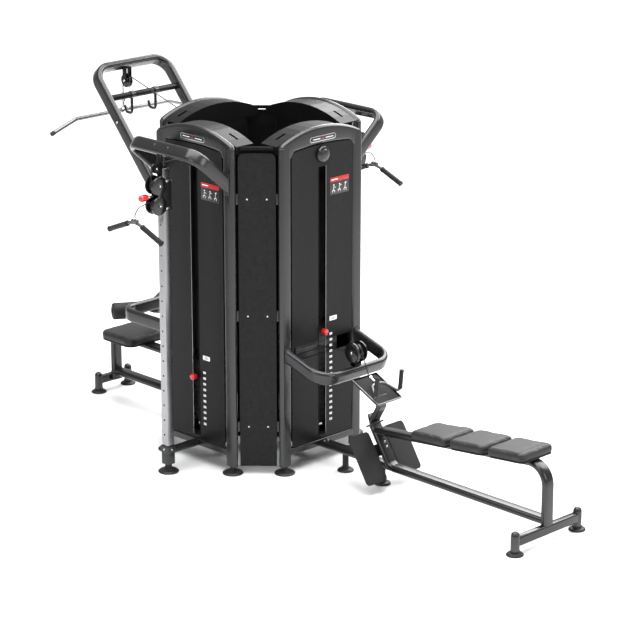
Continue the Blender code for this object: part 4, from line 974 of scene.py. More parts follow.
def numeral(text: str, y: float, z: float, x: float, tall: float) -> list[Surface]:
    """A number in seven-stroke digits, each stroke a thin raised bar, facing out along +X."""
    parts = []
    step = tall * 0.72
    for index, mark in enumerate(text):
        centre = y + (index - (len(text) - 1) / 2) * step
        for stroke in DIGITS[mark]:
            across, up, long, high = STROKES[stroke]
            half_y = tall * (0.25 if long else 0.07)
            half_z = tall * (0.24 if high else 0.07)
            middle_y, middle_z = centre + across * tall * 0.44, z + up * tall * 0.44
            parts.append(
                block(
                    (x, middle_y - half_y, middle_z - half_z),
                    (x + 0.0003, middle_y + half_y, middle_z + half_z),
                    0.0001,
                )
            )
    return parts


# ---- Towers -------------------------------------------------------------------------------------
@dataclass
class Tower:
    """One of the four towers: its portal, feet, trims, labels, stack and pin."""

    shop: Workshop
    station: Station
    plates: int
    pin_z: float
    label_gap: float = 0.070
    badge: tuple[float, float] = (0.204, 0.032)

    def head(self) -> Surface:
        """The arched head: a flat oval whose top and bottom follow two arcs, its inner corners filleted.

        For each y the section is a stadium from bottom(y) to top(y). Its thickness falls to nothing over
        the last stretch of each end as the root of 1 - t squared, so that the head ends round.
        """
        half, radius, inner = UPRIGHT_OUTER, TUBE_THIN / 2 - 0.0004, UPRIGHT_INNER
        across = half * np.sin(np.radians(np.linspace(-90, 90, 91)))
        far = np.abs(across)
        fillet, corner = 0.034, 0.026
        top = arch_height(across, half, TOWER_HEIGHT, ARCH_RISE)
        past = np.clip((far - (half - corner)) / corner, 0, 1)
        top = top - corner * (1 - np.sqrt(1 - past**2))
        bottom = arch_height(np.minimum(far, inner), inner + 0.02, TOWER_HEIGHT - 0.050, 0.018)
        inside = np.clip((far - (inner - fillet)) / fillet, 0, 1)
        bottom = bottom - fillet * (1 - np.sqrt(1 - inside**2))
        end = np.clip((far - (half - radius)) / radius, 0, 1)
        thin = np.maximum(np.sqrt(1 - end**2), 0.04)
        turn = np.radians(np.concatenate([np.linspace(-90, 90, 13), np.linspace(90, 270, 13)]))
        sign = np.repeat([1.0, -1.0], 13)
        middle, reach = (top + bottom) / 2, (top - bottom) / 2 - radius
        z = middle[:, None] + sign * reach[:, None] + radius * np.cos(turn)
        x = UPRIGHT_OUT + thin[:, None] * radius * np.sin(turn)
        y = np.repeat(across[:, None], len(turn), axis=1)
        return grid(np.stack([x, y, z], axis=2))

    def build(self) -> None:
        """Makes the portal, its feet and trims, and dresses the nodes that keep their shape."""
        key, turn, shop = self.station.key, self.station.turn, self.shop
        uprights = [
            straight(
                (UPRIGHT_OUT, side * UPRIGHT_SPREAD, 0.045),
                (UPRIGHT_OUT, side * UPRIGHT_SPREAD, TOWER_HEIGHT - 0.010),
                stadium(TUBE_WIDE, TUBE_THIN),
                (0, 1, 0),
                0.003,
            )
            for side in SIDES
        ]
        reach = UPRIGHT_INNER + 0.030
        crossbar = straight((UPRIGHT_OUT, -reach, BEAM_MIDDLE), (UPRIGHT_OUT, reach, BEAM_MIDDLE),
                         soft_rectangle(TUBE_THIN - 0.001, BEAM_TALL, 0.006), (1, 0, 0))
        shop.piece(f"{key}_portal", [*uprights, self.head(), crossbar], "frame", "machine", Slot.FRAME, turn,
                   [f"{key}_tower_frame"])
        feet = [levelling_foot(UPRIGHT_OUT - 0.004, side * UPRIGHT_SPREAD, 0.060, 0.05) for side in SIDES]
        shop.piece(f"{key}_portal_feet", feet, "foot", "machine", Slot.RUBBER, turn)
        # Slot edging on both sides: the side that catches the light is steel, a painted highlight, and the other
        # side is black, painted shade. Which side is lit is chosen per station.
        edge_x = COVER_FACE + 0.0005
        edging = [straight((edge_x, side * SLOT_HALF, SLOT_LOW), (edge_x, side * SLOT_HALF, SLOT_HIGH),
                           soft_rectangle(0.0020, 0.0034, 0.0008, 3), (0, 1, 0), 0.0004) for side in SIDES]
        lit = 0 if self.station in (Station.SOUTH, Station.NORTH) else 1
        shop.piece(f"{key}_slot_edging", [edging[1 - lit]], "cover", "machine", Slot.COVER, turn)
        shop.piece(f"{key}_slot_edge", [edging[lit]], "steel", "machine", Slot.STEEL, turn)
        for node, finish in (("hood", "hood"), ("front_cover", "cover"), ("corner_panel", "cover"),
                             ("weight_stack", "plates"), ("lifted_plates", "plates")):
            shop.dress(f"{key}_{node}", finish)
        # A black sheet with folded edges inside the tower, behind the stack: painted shade for the dark inside
        # seen through the slot.
        shade_sheet = plate(soft_rectangle(0.440, 1.726, 0.004) + (0, 1.028), 0.3485, 0.3515, edge=0.0008)
        folds = [
            block((0.3400, side * 0.2195 - 0.0012, 0.170), (0.3505, side * 0.2195 + 0.0012, 1.850), 0.0006)
            for side in SIDES
        ]
        shop.piece(f"{key}_inner_shroud", [shade_sheet, *folds], "cover", "machine", Slot.COVER, turn)
        self._corner(turn - math.radians(45))
        self._badge()
        self._labels()
        self._pin()

    def _corner(self, turn: float) -> None:
        """Screws, side tabs and the top ledge of the corner panel on this tower's right."""
        key, shop = self.station.key, self.shop
        screws, tabs = [], []
        for z in (1.630, 0.950, 0.290):
            for side in SIDES:
                screws.append(bolt((PANEL_FACE, side * 0.055, z), (1, 0, 0), 0.0062))
                tabs.append(
                    plate(
                        soft_rectangle(0.011, 0.062, 0.003) + (side * 0.1125, z),
                        PANEL_FACE - 0.004,
                        PANEL_FACE + 0.003,
                    )
                )
        shop.piece(f"{key}_corner_screws", screws, "chrome", "machine", Slot.CHROME, turn)
        ledge = plate(
            soft_rectangle(0.200, 0.020, 0.004) + (0, 1.912), PANEL_FACE - 0.034, PANEL_FACE - 0.026
        )
        shop.piece(f"{key}_corner_tabs", tabs, "frame", "machine", Slot.FRAME, turn)
        shop.piece(f"{key}_corner_ledge", [ledge], "hood", "machine", Slot.COVER, turn)

    def _badge(self) -> None:
        """A blank pill-shaped plate on the head, and on the row tower a round black cap under it."""
        key, turn, shop = self.station.key, self.station.turn, self.shop
        wide, tall = self.badge
        face, z = UPRIGHT_FACE - 0.0003, 1.934
        shop.piece(
            f"{key}_badge_rim",
            [plate(stadium(wide, tall) + (0, z), face, face + 0.0016, edge=0.0005)],
            "steel",
            "machine",
            Slot.STEEL,
            turn,
        )
        inside = [
            plate(stadium(wide - 0.008, tall - 0.008) + (0, z), face + 0.001, face + 0.0022, edge=0.0003)
        ]
        shop.piece(f"{key}_badge", inside, "label_dark", "machine", Slot.COVER, turn)
        mark = [plate(circle(0.0062, 24) + (0, z), face + 0.002, face + 0.0028, edge=0.0003)]
        shop.piece(f"{key}_badge_dot", mark, "red", "machine", Slot.KNOB, turn)
        bars = [
            plate(
                soft_rectangle(0.058, 0.0036, 0.0015, 3) + (side * 0.050, z),
                face + 0.002,
                face + 0.0026,
                edge=0.0002,
            )
            for side in SIDES
        ]
        shop.piece(f"{key}_badge_bars", bars, "label", "machine", Slot.STEEL, turn)
        if self.station is Station.ROW:
            cap = [
                (0, 0), (0.047, 0), (0.047, 0.010), (0.042, 0.017), (0.030, 0.020), (0.026, 0.024),
                (0, 0.026),
            ]
            shop.piece(
                "row_cap",
                [lathed(cap, (COVER_FACE, 0, 1.842), (1, 0, 0), 56, 0.0015)],
                "gloss",
                "machine",
                Slot.COVER,
                turn,
            )

    def _labels(self) -> None:
        """Weight labels beside the slot, a blank notice above them and an exercise placard at eye height."""
        key, turn, shop = self.station.key, self.station.turn, self.shop
        tags, numbers = [], []
        for index in range(self.plates):
            z = STACK_LOW + (self.plates - index - 0.55) * PLATE_PITCH
            tags.append(
                plate(
                    soft_rectangle(0.021, 0.0135, 0.002, 3) + (self.label_gap, z),
                    COVER_FACE,
                    COVER_FACE + SKIN,
                    edge=0.0002,
                )
            )
            numbers += numeral(str(5 * (index + 1)), self.label_gap, z, COVER_FACE + SKIN - 0.0001, 0.0075)
        notice_z = STACK_LOW + self.plates * PLATE_PITCH + 0.072
        tags.append(
            plate(
                soft_rectangle(0.058, 0.026, 0.003, 3) + (self.label_gap + 0.018, notice_z),
                COVER_FACE,
                COVER_FACE + SKIN,
                edge=0.0002,
            )
        )
        shop.piece(f"{key}_weight_tags", tags, "label", "machine", Slot.STEEL, turn)
        for row in (-1, 0, 1):
            numbers.append(
                block(
                    (COVER_FACE + SKIN - 0.0001, self.label_gap + 0.002, notice_z + row * 0.006 - 0.0012),
                    (
                        COVER_FACE + SKIN + 0.0002,
                        self.label_gap + 0.038 - abs(row) * 0.008,
                        notice_z + row * 0.006 + 0.0012,
                    ),
                    0.0001,
                )
            )
        shop.piece(f"{key}_weight_numbers", numbers, "label_dark", "machine", Slot.COVER, turn)
        low, high, left, right = 1.590, 1.690, 0.062, 0.212
        middle = (left + right) / 2
        body = plate(
            soft_rectangle(right - left, high - low, 0.005) + (middle, (low + high) / 2),
            COVER_FACE,
            COVER_FACE + SKIN,
            edge=0.0002,
        )
        header = plate(
            soft_rectangle(right - left, 0.026, 0.005) + (middle, high - 0.013),
            COVER_FACE,
            COVER_FACE + 2 * SKIN,
            edge=0.0002,
        )
        shop.piece(f"{key}_placard", [body], "label_dark", "machine", Slot.COVER, turn)
        shop.piece(f"{key}_placard_header", [header], "label_red", "machine", Slot.KNOB, turn)
        drawn = [
            block(
                (COVER_FACE + SKIN, left + 0.010, high - 0.0155),
                (COVER_FACE + 2 * SKIN + 0.0003, left + 0.060, high - 0.0105),
                0.0001,
            )
        ]
        for index in range(3):
            drawn += self._figure(left + 0.026 + index * 0.046, low + 0.012, (-24, 12, 55)[index])
        shop.piece(f"{key}_placard_figures", drawn, "label", "machine", Slot.STEEL, turn)

    @staticmethod
    def _figure(y: float, z: float, lean: float) -> list[Surface]:
        """A plain stick person doing an exercise, with one arm raised at the angle lean."""
        x = COVER_FACE + SKIN
        way = math.radians(lean)

        def stroke(start: tuple[float, float], end: tuple[float, float]) -> Surface:
            """A thin raised bar between two points of the label."""
            path = np.array([(x, y + start[0], z + start[1]), (x, y + end[0], z + end[1])])
            return swept(path, soft_rectangle(0.0006, 0.0026, 0.0002, 2), (1, 0, 0), 0.0002)

        shoulder = (0.002, 0.034)
        hand = (shoulder[0] + 0.017 * math.cos(way), shoulder[1] + 0.017 * math.sin(way))
        head = plate(circle(0.0042, 20) + (y + 0.003, z + 0.043), x, x + 0.0005, edge=0.0002)
        return [
            head, stroke((0, 0.016), shoulder), stroke(shoulder, hand), stroke((0, 0.016), (0.010, 0.012)),
            stroke((0.010, 0.012), (0.010, 0)), stroke((-0.010, 0.011), (0.004, 0.013)),
            stroke((-0.007, 0), (-0.007, 0.011)),
        ]

    def _pin(self) -> None:
        """The selector pin with its red knob and the cable that lifts the plates."""
        key, turn, shop = self.station.key, self.station.turn, self.shop
        z, start = self.pin_z, 0.517
        knob = [
            (0, 0), (0.013, 0), (0.0165, 0.004), (0.0185, 0.011), (0.0185, 0.025), (0.0165, 0.032),
            (0.011, 0.0355), (0, 0.036),
        ]
        shop.piece(
            f"{key}_pin_knob",
            [lathed(knob, (start, 0, z), (1, 0, 0), 40, 0.001)],
            "red",
            f"{key}_pin",
            Slot.KNOB,
            turn,
            [f"{key}_selector_pin"],
        )
        shaft = [
            rod((STACK_OUT - 0.015, 0, z), (start + 0.004, 0, z), 0.0038),
            rod((start - 0.006, 0, z), (start + 0.001, 0, z), 0.010),
        ]
        shop.piece(f"{key}_pin_shaft", shaft, "chrome", f"{key}_pin", Slot.CHROME, turn)
        stem_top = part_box(f"{key}_lifted_plates")[1].z
        top = TOWER_HEIGHT - 0.062
        steps = np.linspace(top, stem_top - 0.012, 60)
        route = np.stack([np.full(60, STACK_OUT), np.zeros(60), steps], axis=1)
        shop.strand(f"{key}_lift_cable", np.empty((0, 3)), route, ("machine", f"{key}_lifted"), turn)


# ---- Cushions -----------------------------------------------------------------------------------
def puffed(piece: bpy.types.Object, cell: float, cap: float, floor_z: float) -> None:
    """Swells a closed block into a padded one by a short cloth simulation whose result is kept.

    Every point moves from its start by at most the cap, and none ends below floor_z.

    Args:
        piece: the block, at the origin in its own flat frame.
        cell: size of the voxels that it is first remeshed to.
        cap: the furthest that a point may move.
        floor_z: height of what the pad rests on.
    """
    scene = bpy.context.scene
    bpy.context.view_layer.objects.active = piece
    remesh = piece.modifiers.new("even", "REMESH")
    remesh.mode = "VOXEL"
    remesh.voxel_size = cell
    bpy.ops.object.modifier_apply(modifier=remesh.name)
    count = len(piece.data.vertices)
    start = np.empty(count * 3, np.float32)
    piece.data.vertices.foreach_get("co", start)
    cloth = piece.modifiers.new("fill", "CLOTH")
    cloth.settings.use_pressure = True
    cloth.settings.uniform_pressure_force = 4.0
    cloth.settings.effector_weights.gravity = 0.0
    cloth.settings.quality = 4
    for step in range(1, 17):
        scene.frame_set(step)
    shown = piece.evaluated_get(bpy.context.evaluated_depsgraph_get())
    moved = np.empty(count * 3, np.float32)
    shown.data.vertices.foreach_get("co", moved)
    piece.modifiers.remove(cloth)
    scene.frame_set(1)
    start, moved = start.reshape(-1, 3), moved.reshape(-1, 3)
    shift = moved - start
    far = np.linalg.norm(shift, axis=1)[:, None]
    final = start + shift * np.minimum(1, cap / np.maximum(far, 1e-9))
    final[:, 2] = np.maximum(final[:, 2], floor_z)
    piece.data.vertices.foreach_set("co", final.reshape(-1))
    piece.data.update()


@dataclass
class Cushion:
    """An upholstered pad on a board: its plan, its thickness and where it lies."""

    shop: Workshop
    name: str
    outline: np.ndarray
    thick: float
    place: Matrix
    turn: float
    board: float = 0.010
    shrink: float = 0.005
    edge: float = 0.014
    seams: tuple[float, ...] = ()

    def build(self, stands_for: Sequence[str] = ()) -> None:
        """Makes the padded cover, its welt and the board under it."""
        shop = self.shop
        middle = self.outline.mean(axis=0)
        reach = np.abs(self.outline - middle).max(axis=0)
        smaller = middle + (self.outline - middle) * (1 - self.shrink / reach)
        base = self.board
        shape = self._crowned(smaller, base, self.thick - self.shrink)
        pad = shop.mesh(self.name, shape, "vinyl")
        puffed(pad, 0.0055, self.shrink + 0.001, base)
        pad.data.transform(Matrix.Rotation(self.turn, 4, "Z") @ self.place)
        smooth = pad.modifiers.new("smooth", "SUBSURF")
        smooth.levels = smooth.render_levels = 1
        pad.data.shade_smooth()
        pad.data.materials.clear()
        pad.data.materials.append(shop.materials["vinyl"])
        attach(pad, "machine")
        if stands_for:
            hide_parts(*stands_for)
        LOG.info("%s: padded", self.name)
        self._welt(pad)
        board = plate(
            middle + (self.outline - middle) * (1 - 0.012 / reach), 0.0002, base + 0.004, "XY"
        ).laid(self.place)
        shop.piece(f"{self.name}_board", [board], "hood", "machine", Slot.COVER, self.turn)

    def _crowned(self, outline: np.ndarray, low: float, thick: float) -> Surface:
        """The pad's start: rings of the outline drawn in along a quarter ellipse at both rims, with a low crown.

        Args:
            outline: the plan, anticlockwise.
            low: the underside's height.
            thick: the pad's thickness at its rim's top.

        Returns:
            The closed surface.
        """
        middle = outline.mean(axis=0)
        reach = np.abs(outline - middle).max()
        turn = np.radians(np.linspace(0, 90, 6))
        under = [
            (1 - 0.006 / reach * (1 - math.sin(angle)), low + 0.006 * (1 - math.cos(angle)))
            for angle in turn
        ]
        over = [
            (1 - self.edge / reach * (1 - math.cos(angle)), low + thick - self.edge * (1 - math.sin(angle)))
            for angle in turn
        ]
        rim = over[-1][0]
        crown = [(rim * share, low + thick + 0.0035 * (1 - share**2)) for share in (0.85, 0.65, 0.4, 0.15)]
        rings = [np.column_stack([middle + (outline - middle) * scale, np.full(len(outline), height)])
                 for scale, height in [(0.5, low), *under, *over[1:], *crown]]
        return grid(np.array(rings))

    def _welt(self, pad: bpy.types.Object) -> None:
        """A thin stitched welt round the pad at the top of its side, and any seams across it."""
        bpy.context.view_layer.update()
        turn = Matrix.Rotation(self.turn, 4, "Z") @ self.place
        back = turn.inverted()
        middle = self.outline.mean(axis=0)
        closed = np.vstack([self.outline, self.outline[:1]])
        along = np.concatenate([[0], np.cumsum(np.linalg.norm(np.diff(closed, axis=0), axis=1))])
        even = np.linspace(0, along[-1], WELT_STEPS, endpoint=False)
        spots = np.column_stack([np.interp(even, along, closed[:, axis]) for axis in (0, 1)])
        height = self.board + self.thick * 0.66
        route = []
        for spot in spots:
            near = pad.closest_point_on_mesh(turn @ Vector((*(middle + (spot - middle) * 1.05), height)))[1]
            local = back @ near
            outward = Vector((*(spot - middle), 0)).normalized() * 0.0002
            route.append(tuple(local + outward))
        route.append(route[0])
        parts = [swept(np.array(route), circle(0.0016, 8), None, 0.0)]
        low, high = self.outline.min(axis=0), self.outline.max(axis=0)
        for seam in self.seams:
            line = []
            for share in np.linspace(0.03, 0.97, 40):
                spot = turn @ Vector(
                    (seam, low[1] + (high[1] - low[1]) * share, self.board + self.thick + 0.02)
                )
                line.append(tuple(back @ pad.closest_point_on_mesh(spot)[1]))
            parts.append(swept(np.array(line), circle(0.0013, 8), None, 0.0004))
        self.shop.piece(
            f"{self.name}_welt",
            [part.laid(self.place) for part in parts],
            "foam",
            "machine",
            Slot.VINYL,
            self.turn,
        )


# ---- Row station --------------------------------------------------------------------------------
@dataclass
class RowStation:
    """The seated row: U-bar and pulley, handle tray, foot plates and the padded bench."""

    shop: Workshop
    bar_z: float = 0.712
    bar_front: float = 0.795
    bar_angle: float = math.radians(-17.5)
    wheel_at: tuple[float, float, float] = (0.786, 0.0, 0.737)
    tray_back: tuple[float, float] = (0.845, 0.600)
    tray_front: tuple[float, float] = (1.052, 0.502)
    leg_top: tuple[float, float] = (0.940, 0.340)
    leg_bottom: tuple[float, float] = (1.078, 0.125)
    bench_rear: float = 2.220
    beam_rear_z: float = 0.443
    beam_front: tuple[float, float] = (0.962, 0.314)
    feet_spread: float = 0.255
    pad_ends: tuple[float, ...] = (1.300, 1.605, 1.880, 2.165)
    pad_wide: float = 0.280
    pad_thick: float = 0.046

    def build(self) -> None:
        """Makes every piece of the station."""
        self._bar()
        self._tray()
        self._bench()
        self._foot_plates()
        self._pads()
        self._handle()

    def _slope(self) -> tuple[Vector, Vector]:
        """Unit vectors down the tray and out of its face."""
        slope = Vector(
            (self.tray_front[0] - self.tray_back[0], 0, self.tray_front[1] - self.tray_back[1])
        ).normalized()
        return slope, Vector((-slope.z, 0, slope.x))

    def _leg(self) -> tuple[Vector, Vector]:
        """Unit vectors down the slanted leg and out of its upper face."""
        down = Vector(
            (self.leg_bottom[0] - self.leg_top[0], 0, self.leg_bottom[1] - self.leg_top[1])
        ).normalized()
        return down, Vector((-down.z, 0, down.x))

    def _bar(self) -> None:
        """The sloping U-bar, its fork and the pulley between two glossy discs."""
        shop = self.shop
        x, _, z = self.wheel_at
        bar = u_bar(self.bar_z, self.bar_front, self.bar_angle, 0.110)
        shop.piece(
            "row_bar",
            [bar, *flanges(self.bar_z, self.bar_angle)],
            "frame",
            "machine",
            Slot.FRAME,
            0.0,
            ["row_u_bar"],
        )
        ears = [
            plate(
                soft_rectangle(0.040, 0.094, 0.012) + (x - 0.001, z - 0.034),
                side * 0.019,
                side * 0.024,
                "XZ",
            )
            for side in SIDES
        ]
        ears.append(block((x - 0.022, -0.024, 0.655), (x + 0.020, 0.024, 0.6745)))
        shop.piece("row_fork", ears, "cover", "machine", Slot.COVER)
        pulley = [
            wheel(self.wheel_at, (0, 1, 0), 0.042, 0.050, 0.010), rod((x, -0.0262, z), (x, 0.0262, z), 0.008)
        ]
        pulley += [round_cover((x, side * 0.0265, z), side, 0.060, 0.014) for side in SIDES]
        shop.piece("row_wheel", pulley, "gloss", "row_wheel", Slot.COVER, 0.0, ["row_pulley"])
        hubs = [bolt((x, side * 0.0392, z), (0, side, 0), 0.008) for side in SIDES]
        shop.piece("row_wheel_bolts", hubs, "chrome", "row_wheel", Slot.CHROME)

    def _tray(self) -> None:
        """The lipped handle tray with a ribbed mat, a thin bright rim and its curved post."""
        shop = self.shop
        slope, normal = self._slope()
        back, front = (Vector((x, 0, z)) for x, z in (self.tray_back, self.tray_front))
        long = (front - back).length
        place = Matrix.Translation((back + front) / 2) @ Matrix((
            (slope.x, 0, normal.x, 0), (0, 1, 0, 0), (slope.z, 0, normal.z, 0), (0, 0, 0, 1)))
        sheet = plate(soft_rectangle(long, 0.200, 0.010), -0.002, 0.002, "XY", 0.0012)
        walls = []
        for start, end in (((-1, -1), (1, -1)), ((1, -1), (1, 1)), ((1, 1), (-1, 1)), ((-1, 1), (-1, -1))):
            half = np.array([long / 2 - 0.002, 0.098])
            path = np.array([(*(half * start), 0.005), (*(half * end), 0.005)])
            way = path[1] - path[0]
            walls.append(
                swept(path, soft_rectangle(0.0036, 0.013, 0.0015, 3), np.cross(way, (0, 0, 1)), 0.0006)
            )
        under = back + (front - back) * 0.68
        leg_way, _ = self._leg()
        clamp = Vector((self.leg_top[0], 0, self.leg_top[1])) - leg_way * 0.0013
        route = bent(
            [
                tuple(under), tuple(under - Vector((0, 0, 0.075))), tuple(clamp - leg_way * 0.022),
                tuple(clamp),
            ],
            0.045,
            10,
        )
        post = swept(route, stadium(0.074, 0.030), (0, 1, 0))
        foot_way = np.array([tuple(clamp - leg_way * 0.010), tuple(clamp)])
        collar = swept(foot_way, soft_rectangle(0.100, 0.060, 0.008), (0, 1, 0))
        shop.piece(
            "row_tray_sheet",
            [part.laid(place) for part in (sheet, *walls)],
            "gloss",
            "machine",
            Slot.COVER,
            0.0,
            ["row_tray"],
        )
        shop.piece("row_tray_post", [post, collar], "frame", "machine", Slot.FRAME)
        mat = plate(soft_rectangle(long - 0.016, 0.184, 0.006), 0.0018, 0.0042, "XY", 0.0008).laid(place)
        shop.piece("row_tray_mat", [mat], "tread", "machine", Slot.RUBBER)
        edge_path = bent(
            [
                (-long / 2 + 0.003, -0.097, 0.0118), (long / 2 - 0.002, -0.097, 0.0118),
                (long / 2 - 0.002, 0.097, 0.0118), (-long / 2 + 0.003, 0.097, 0.0118),
            ],
            0.003,
            4,
        )
        shop.piece(
            "row_tray_rim",
            [swept(edge_path, circle(0.0011, 8), None, 0.0004).laid(place)],
            "steel",
            "machine",
            Slot.STEEL,
        )

    def _bench(self) -> None:
        """Lower beam, seat beam, slanted leg, foot bar with domed posts and the levelling feet."""
        shop = self.shop
        section = stadium(TUBE_WIDE, TUBE_THIN)
        thinner = stadium(TUBE_WIDE - 0.0012, TUBE_THIN - 0.0012)
        rear = (self.bench_rear, 0, BEAM_MIDDLE)
        lower = swept(
            bent(
                [(self.leg_top[0], 0, self.leg_top[1]), (self.leg_bottom[0], 0, self.leg_bottom[1]), rear],
                0.055,
            ),
            section,
            (0, 1, 0),
        )
        corner = (self.bench_rear, 0, self.beam_rear_z)
        upper = swept(
            bent([(self.beam_front[0], 0, self.beam_front[1]), corner, (self.bench_rear, 0, 0.070)], 0.110),
            thinner,
            (0, 1, 0),
        )
        base = straight((UPRIGHT_FACE, 0, BEAM_MIDDLE), (self.leg_bottom[0] + 0.02, 0, BEAM_MIDDLE),
                     stadium(TUBE_WIDE - 0.002, TUBE_THIN - 0.002), (0, 1, 0))
        spread = self.feet_spread
        bar = straight(
            (self.bench_rear, -spread, 0.076), (self.bench_rear, spread, 0.076),
            soft_rectangle(0.042, 0.056, 0.010), (1, 0, 0),
        )
        posts = [part for side in SIDES for part in dome_post(self.bench_rear, side * spread)]
        shop.piece(
            "row_bench", [lower, upper, base, bar, *posts], "frame", "machine", Slot.FRAME, 0.0,
            ["row_bench_frame"],
        )
        feet = [levelling_foot(x, 0, 0.048, 0.11, 0.018) for x in (0.705, 1.000)]
        feet += [levelling_foot(self.bench_rear, side * spread, 0.048, 0.024, 0.022) for side in SIDES]
        shop.piece("row_bench_feet", feet, "foot", "machine", Slot.RUBBER)
        down, out = self._leg()
        heads = []
        for step in (0.110, 0.140):
            spot = Vector((self.leg_top[0], 0, self.leg_top[1])) + down * step + out * (TUBE_THIN / 2)
            heads.append(bolt(spot, out, 0.007))
        for side in SIDES:
            heads.append(bolt((UPRIGHT_FACE + 0.030, side * 0.014, BEAM_TOP), (0, 0, 1), 0.006))
        shop.piece("row_bench_bolts", heads, "chrome", "machine", Slot.CHROME)

    def _foot_plates(self) -> None:
        """Two rubber treads with rounded corners either side of the slanted leg, on two backing plates and a
        strap.
        """
        shop = self.shop
        down, out = self._leg()
        top = Vector((self.leg_top[0], 0, self.leg_top[1])) + down * 0.020
        long, wide, inner = 0.296, 0.160, 0.060
        centre = top + down * (long / 2) - out * 0.016
        face = Matrix(
            ((down.x, 0, -out.x, centre.x), (0, 1, 0, 0), (down.z, 0, -out.z, centre.z), (0, 0, 0, 1))
        )
        treads, backs = [], []
        for side in SIDES:
            outline = soft_rectangle(long, wide, 0.024, 8) + (0, side * (inner + wide / 2))
            treads.append(plate(outline, -0.007, 0.003, "XY", 0.0022).laid(face))
            backs.append(plate(outline * (0.985, 0.985), 0.0028, 0.0068, "XY", 0.0012).laid(face))
        shop.piece("row_treads", treads, "tread", "machine", Slot.RUBBER, 0.0, ["row_foot_plates"])
        strap_top = top + down * 0.085 - out * (TUBE_THIN / 2 + 0.0033)
        strap = straight(
            tuple(strap_top), tuple(strap_top + down * 0.070), soft_rectangle(0.300, 0.006, 0.0012, 3),
            (0, 1, 0), 0.001,
        )
        shop.piece("row_tread_backs", [*backs, strap], "frame", "machine", Slot.FRAME)

    def _seat_matrix(self) -> Matrix:
        """The pads' flat frame laid on the sloping seat beam, its origin at the front pad's front."""
        run, rise = self.bench_rear - self.beam_front[0], self.beam_rear_z - self.beam_front[1]
        slope = math.atan2(rise, run)
        share = (self.pad_ends[0] - self.beam_front[0]) / run
        z = self.beam_front[1] + share * rise + TUBE_THIN / 2 * math.hypot(1, rise / run) + 0.0006
        return Matrix.Translation((self.pad_ends[0], 0, z)) @ Matrix.Rotation(-slope, 4, "Y")

    def _pads(self) -> None:
        """Three upholstered pads, the front one narrower at its front end and the rear one with a seam."""
        place = self._seat_matrix()
        stretch = math.hypot(
            1, (self.beam_rear_z - self.beam_front[1]) / (self.bench_rear - self.beam_front[0])
        )
        for index, (start, end) in enumerate(zip(self.pad_ends, self.pad_ends[1:])):
            front = (start - self.pad_ends[0]) * stretch + 0.004
            rear = (end - self.pad_ends[0]) * stretch - 0.004
            outline = soft_rectangle(rear - front, self.pad_wide, 0.034, 8) + ((front + rear) / 2, 0)
            if index == 0:
                taper = 1 - 0.14 * np.clip((rear - outline[:, 0]) / (rear - front), 0, 1)
                outline = outline * np.column_stack([np.ones(len(outline)), taper])
            seams = ((rear - 0.042),) if index == 2 else ()
            cushion = Cushion(
                self.shop, f"row_pad_{index + 1}", outline, self.pad_thick, place, 0.0, seams=seams
            )
            cushion.build(["row_seat_pads"] if index == 0 else ())

    def _handle(self) -> None:
        """The double-grip handle with its eye, link and swivel, and the cable back over the pulley."""
        shop = self.shop
        slope, normal = self._slope()
        back = Vector((self.tray_back[0], 0, self.tray_back[1]))
        eye = back + slope * 0.045 + normal * 0.034
        heel = back + slope * 0.200 + normal * 0.026
        neck = eye + (heel - eye) * 0.30
        bars, grips = [], []
        for side in SIDES:
            low = heel + Vector((0, side * 0.098, 0))
            high = low + Vector((0.012, 0, 0.130))
            route = bent(
                [tuple(neck), tuple(neck + Vector((0.02, side * 0.050, -0.006))), tuple(low), tuple(high)],
                0.018,
                8,
            )
            bars.append(swept(route, circle(0.0088, 20)))
            grips.append(grip(low + Vector((0.0018, 0, 0.022)), low + Vector((0.0122, 0, 0.133)), 0.0137))
        bars.append(rod(neck - Vector((0, 0.012, 0)), neck + Vector((0, 0.012, 0)), 0.014, 28))
        shop.piece("row_handle_bars", bars, "bar", "row_grip", Slot.STEEL, 0.0, ["row_handle"])
        shop.piece("row_handle_grips", grips, "rubber", "row_grip", Slot.RUBBER)
        link = [
            rod(neck, eye + slope * 0.004, 0.0075),
            rod(eye - Vector((0, 0.005, 0)), eye + Vector((0, 0.005, 0)), 0.0125, 28),
        ]
        link.append(
            lathed(
                [(0, -0.010), (0.006, -0.010), (0.0095, -0.004), (0.0095, 0.004), (0.006, 0.010), (0, 0.010)],
                eye - slope * 0.003,
                slope,
                28,
            )
        )
        shop.piece("row_handle_link", link, "chrome", "row_grip", Slot.CHROME)
        wrap = 0.042 + 0.003 + 0.0012
        lead = eye - slope * 0.0143
        turn = np.radians(np.linspace(190, 5, 33))
        x, _, z = self.wheel_at
        over = np.stack([x + wrap * np.cos(turn), np.zeros(33), z + wrap * np.sin(turn)], axis=1)
        leave = over[-1]
        out = leave + (np.array(tuple(lead)) - leave) * np.linspace(0, 1, 40)[:, None]
        inward = np.linspace(0, 1, 8)[:-1, None]
        start = np.array([(STACK_OUT + 0.056, 0, 0.705)]) + (over[0] - (STACK_OUT + 0.056, 0, 0.705)) * inward
        shop.strand(
            "row_line", np.concatenate([start, over]), out, ("machine", "row_grip"), 0.0, ["row_cable"]
        )


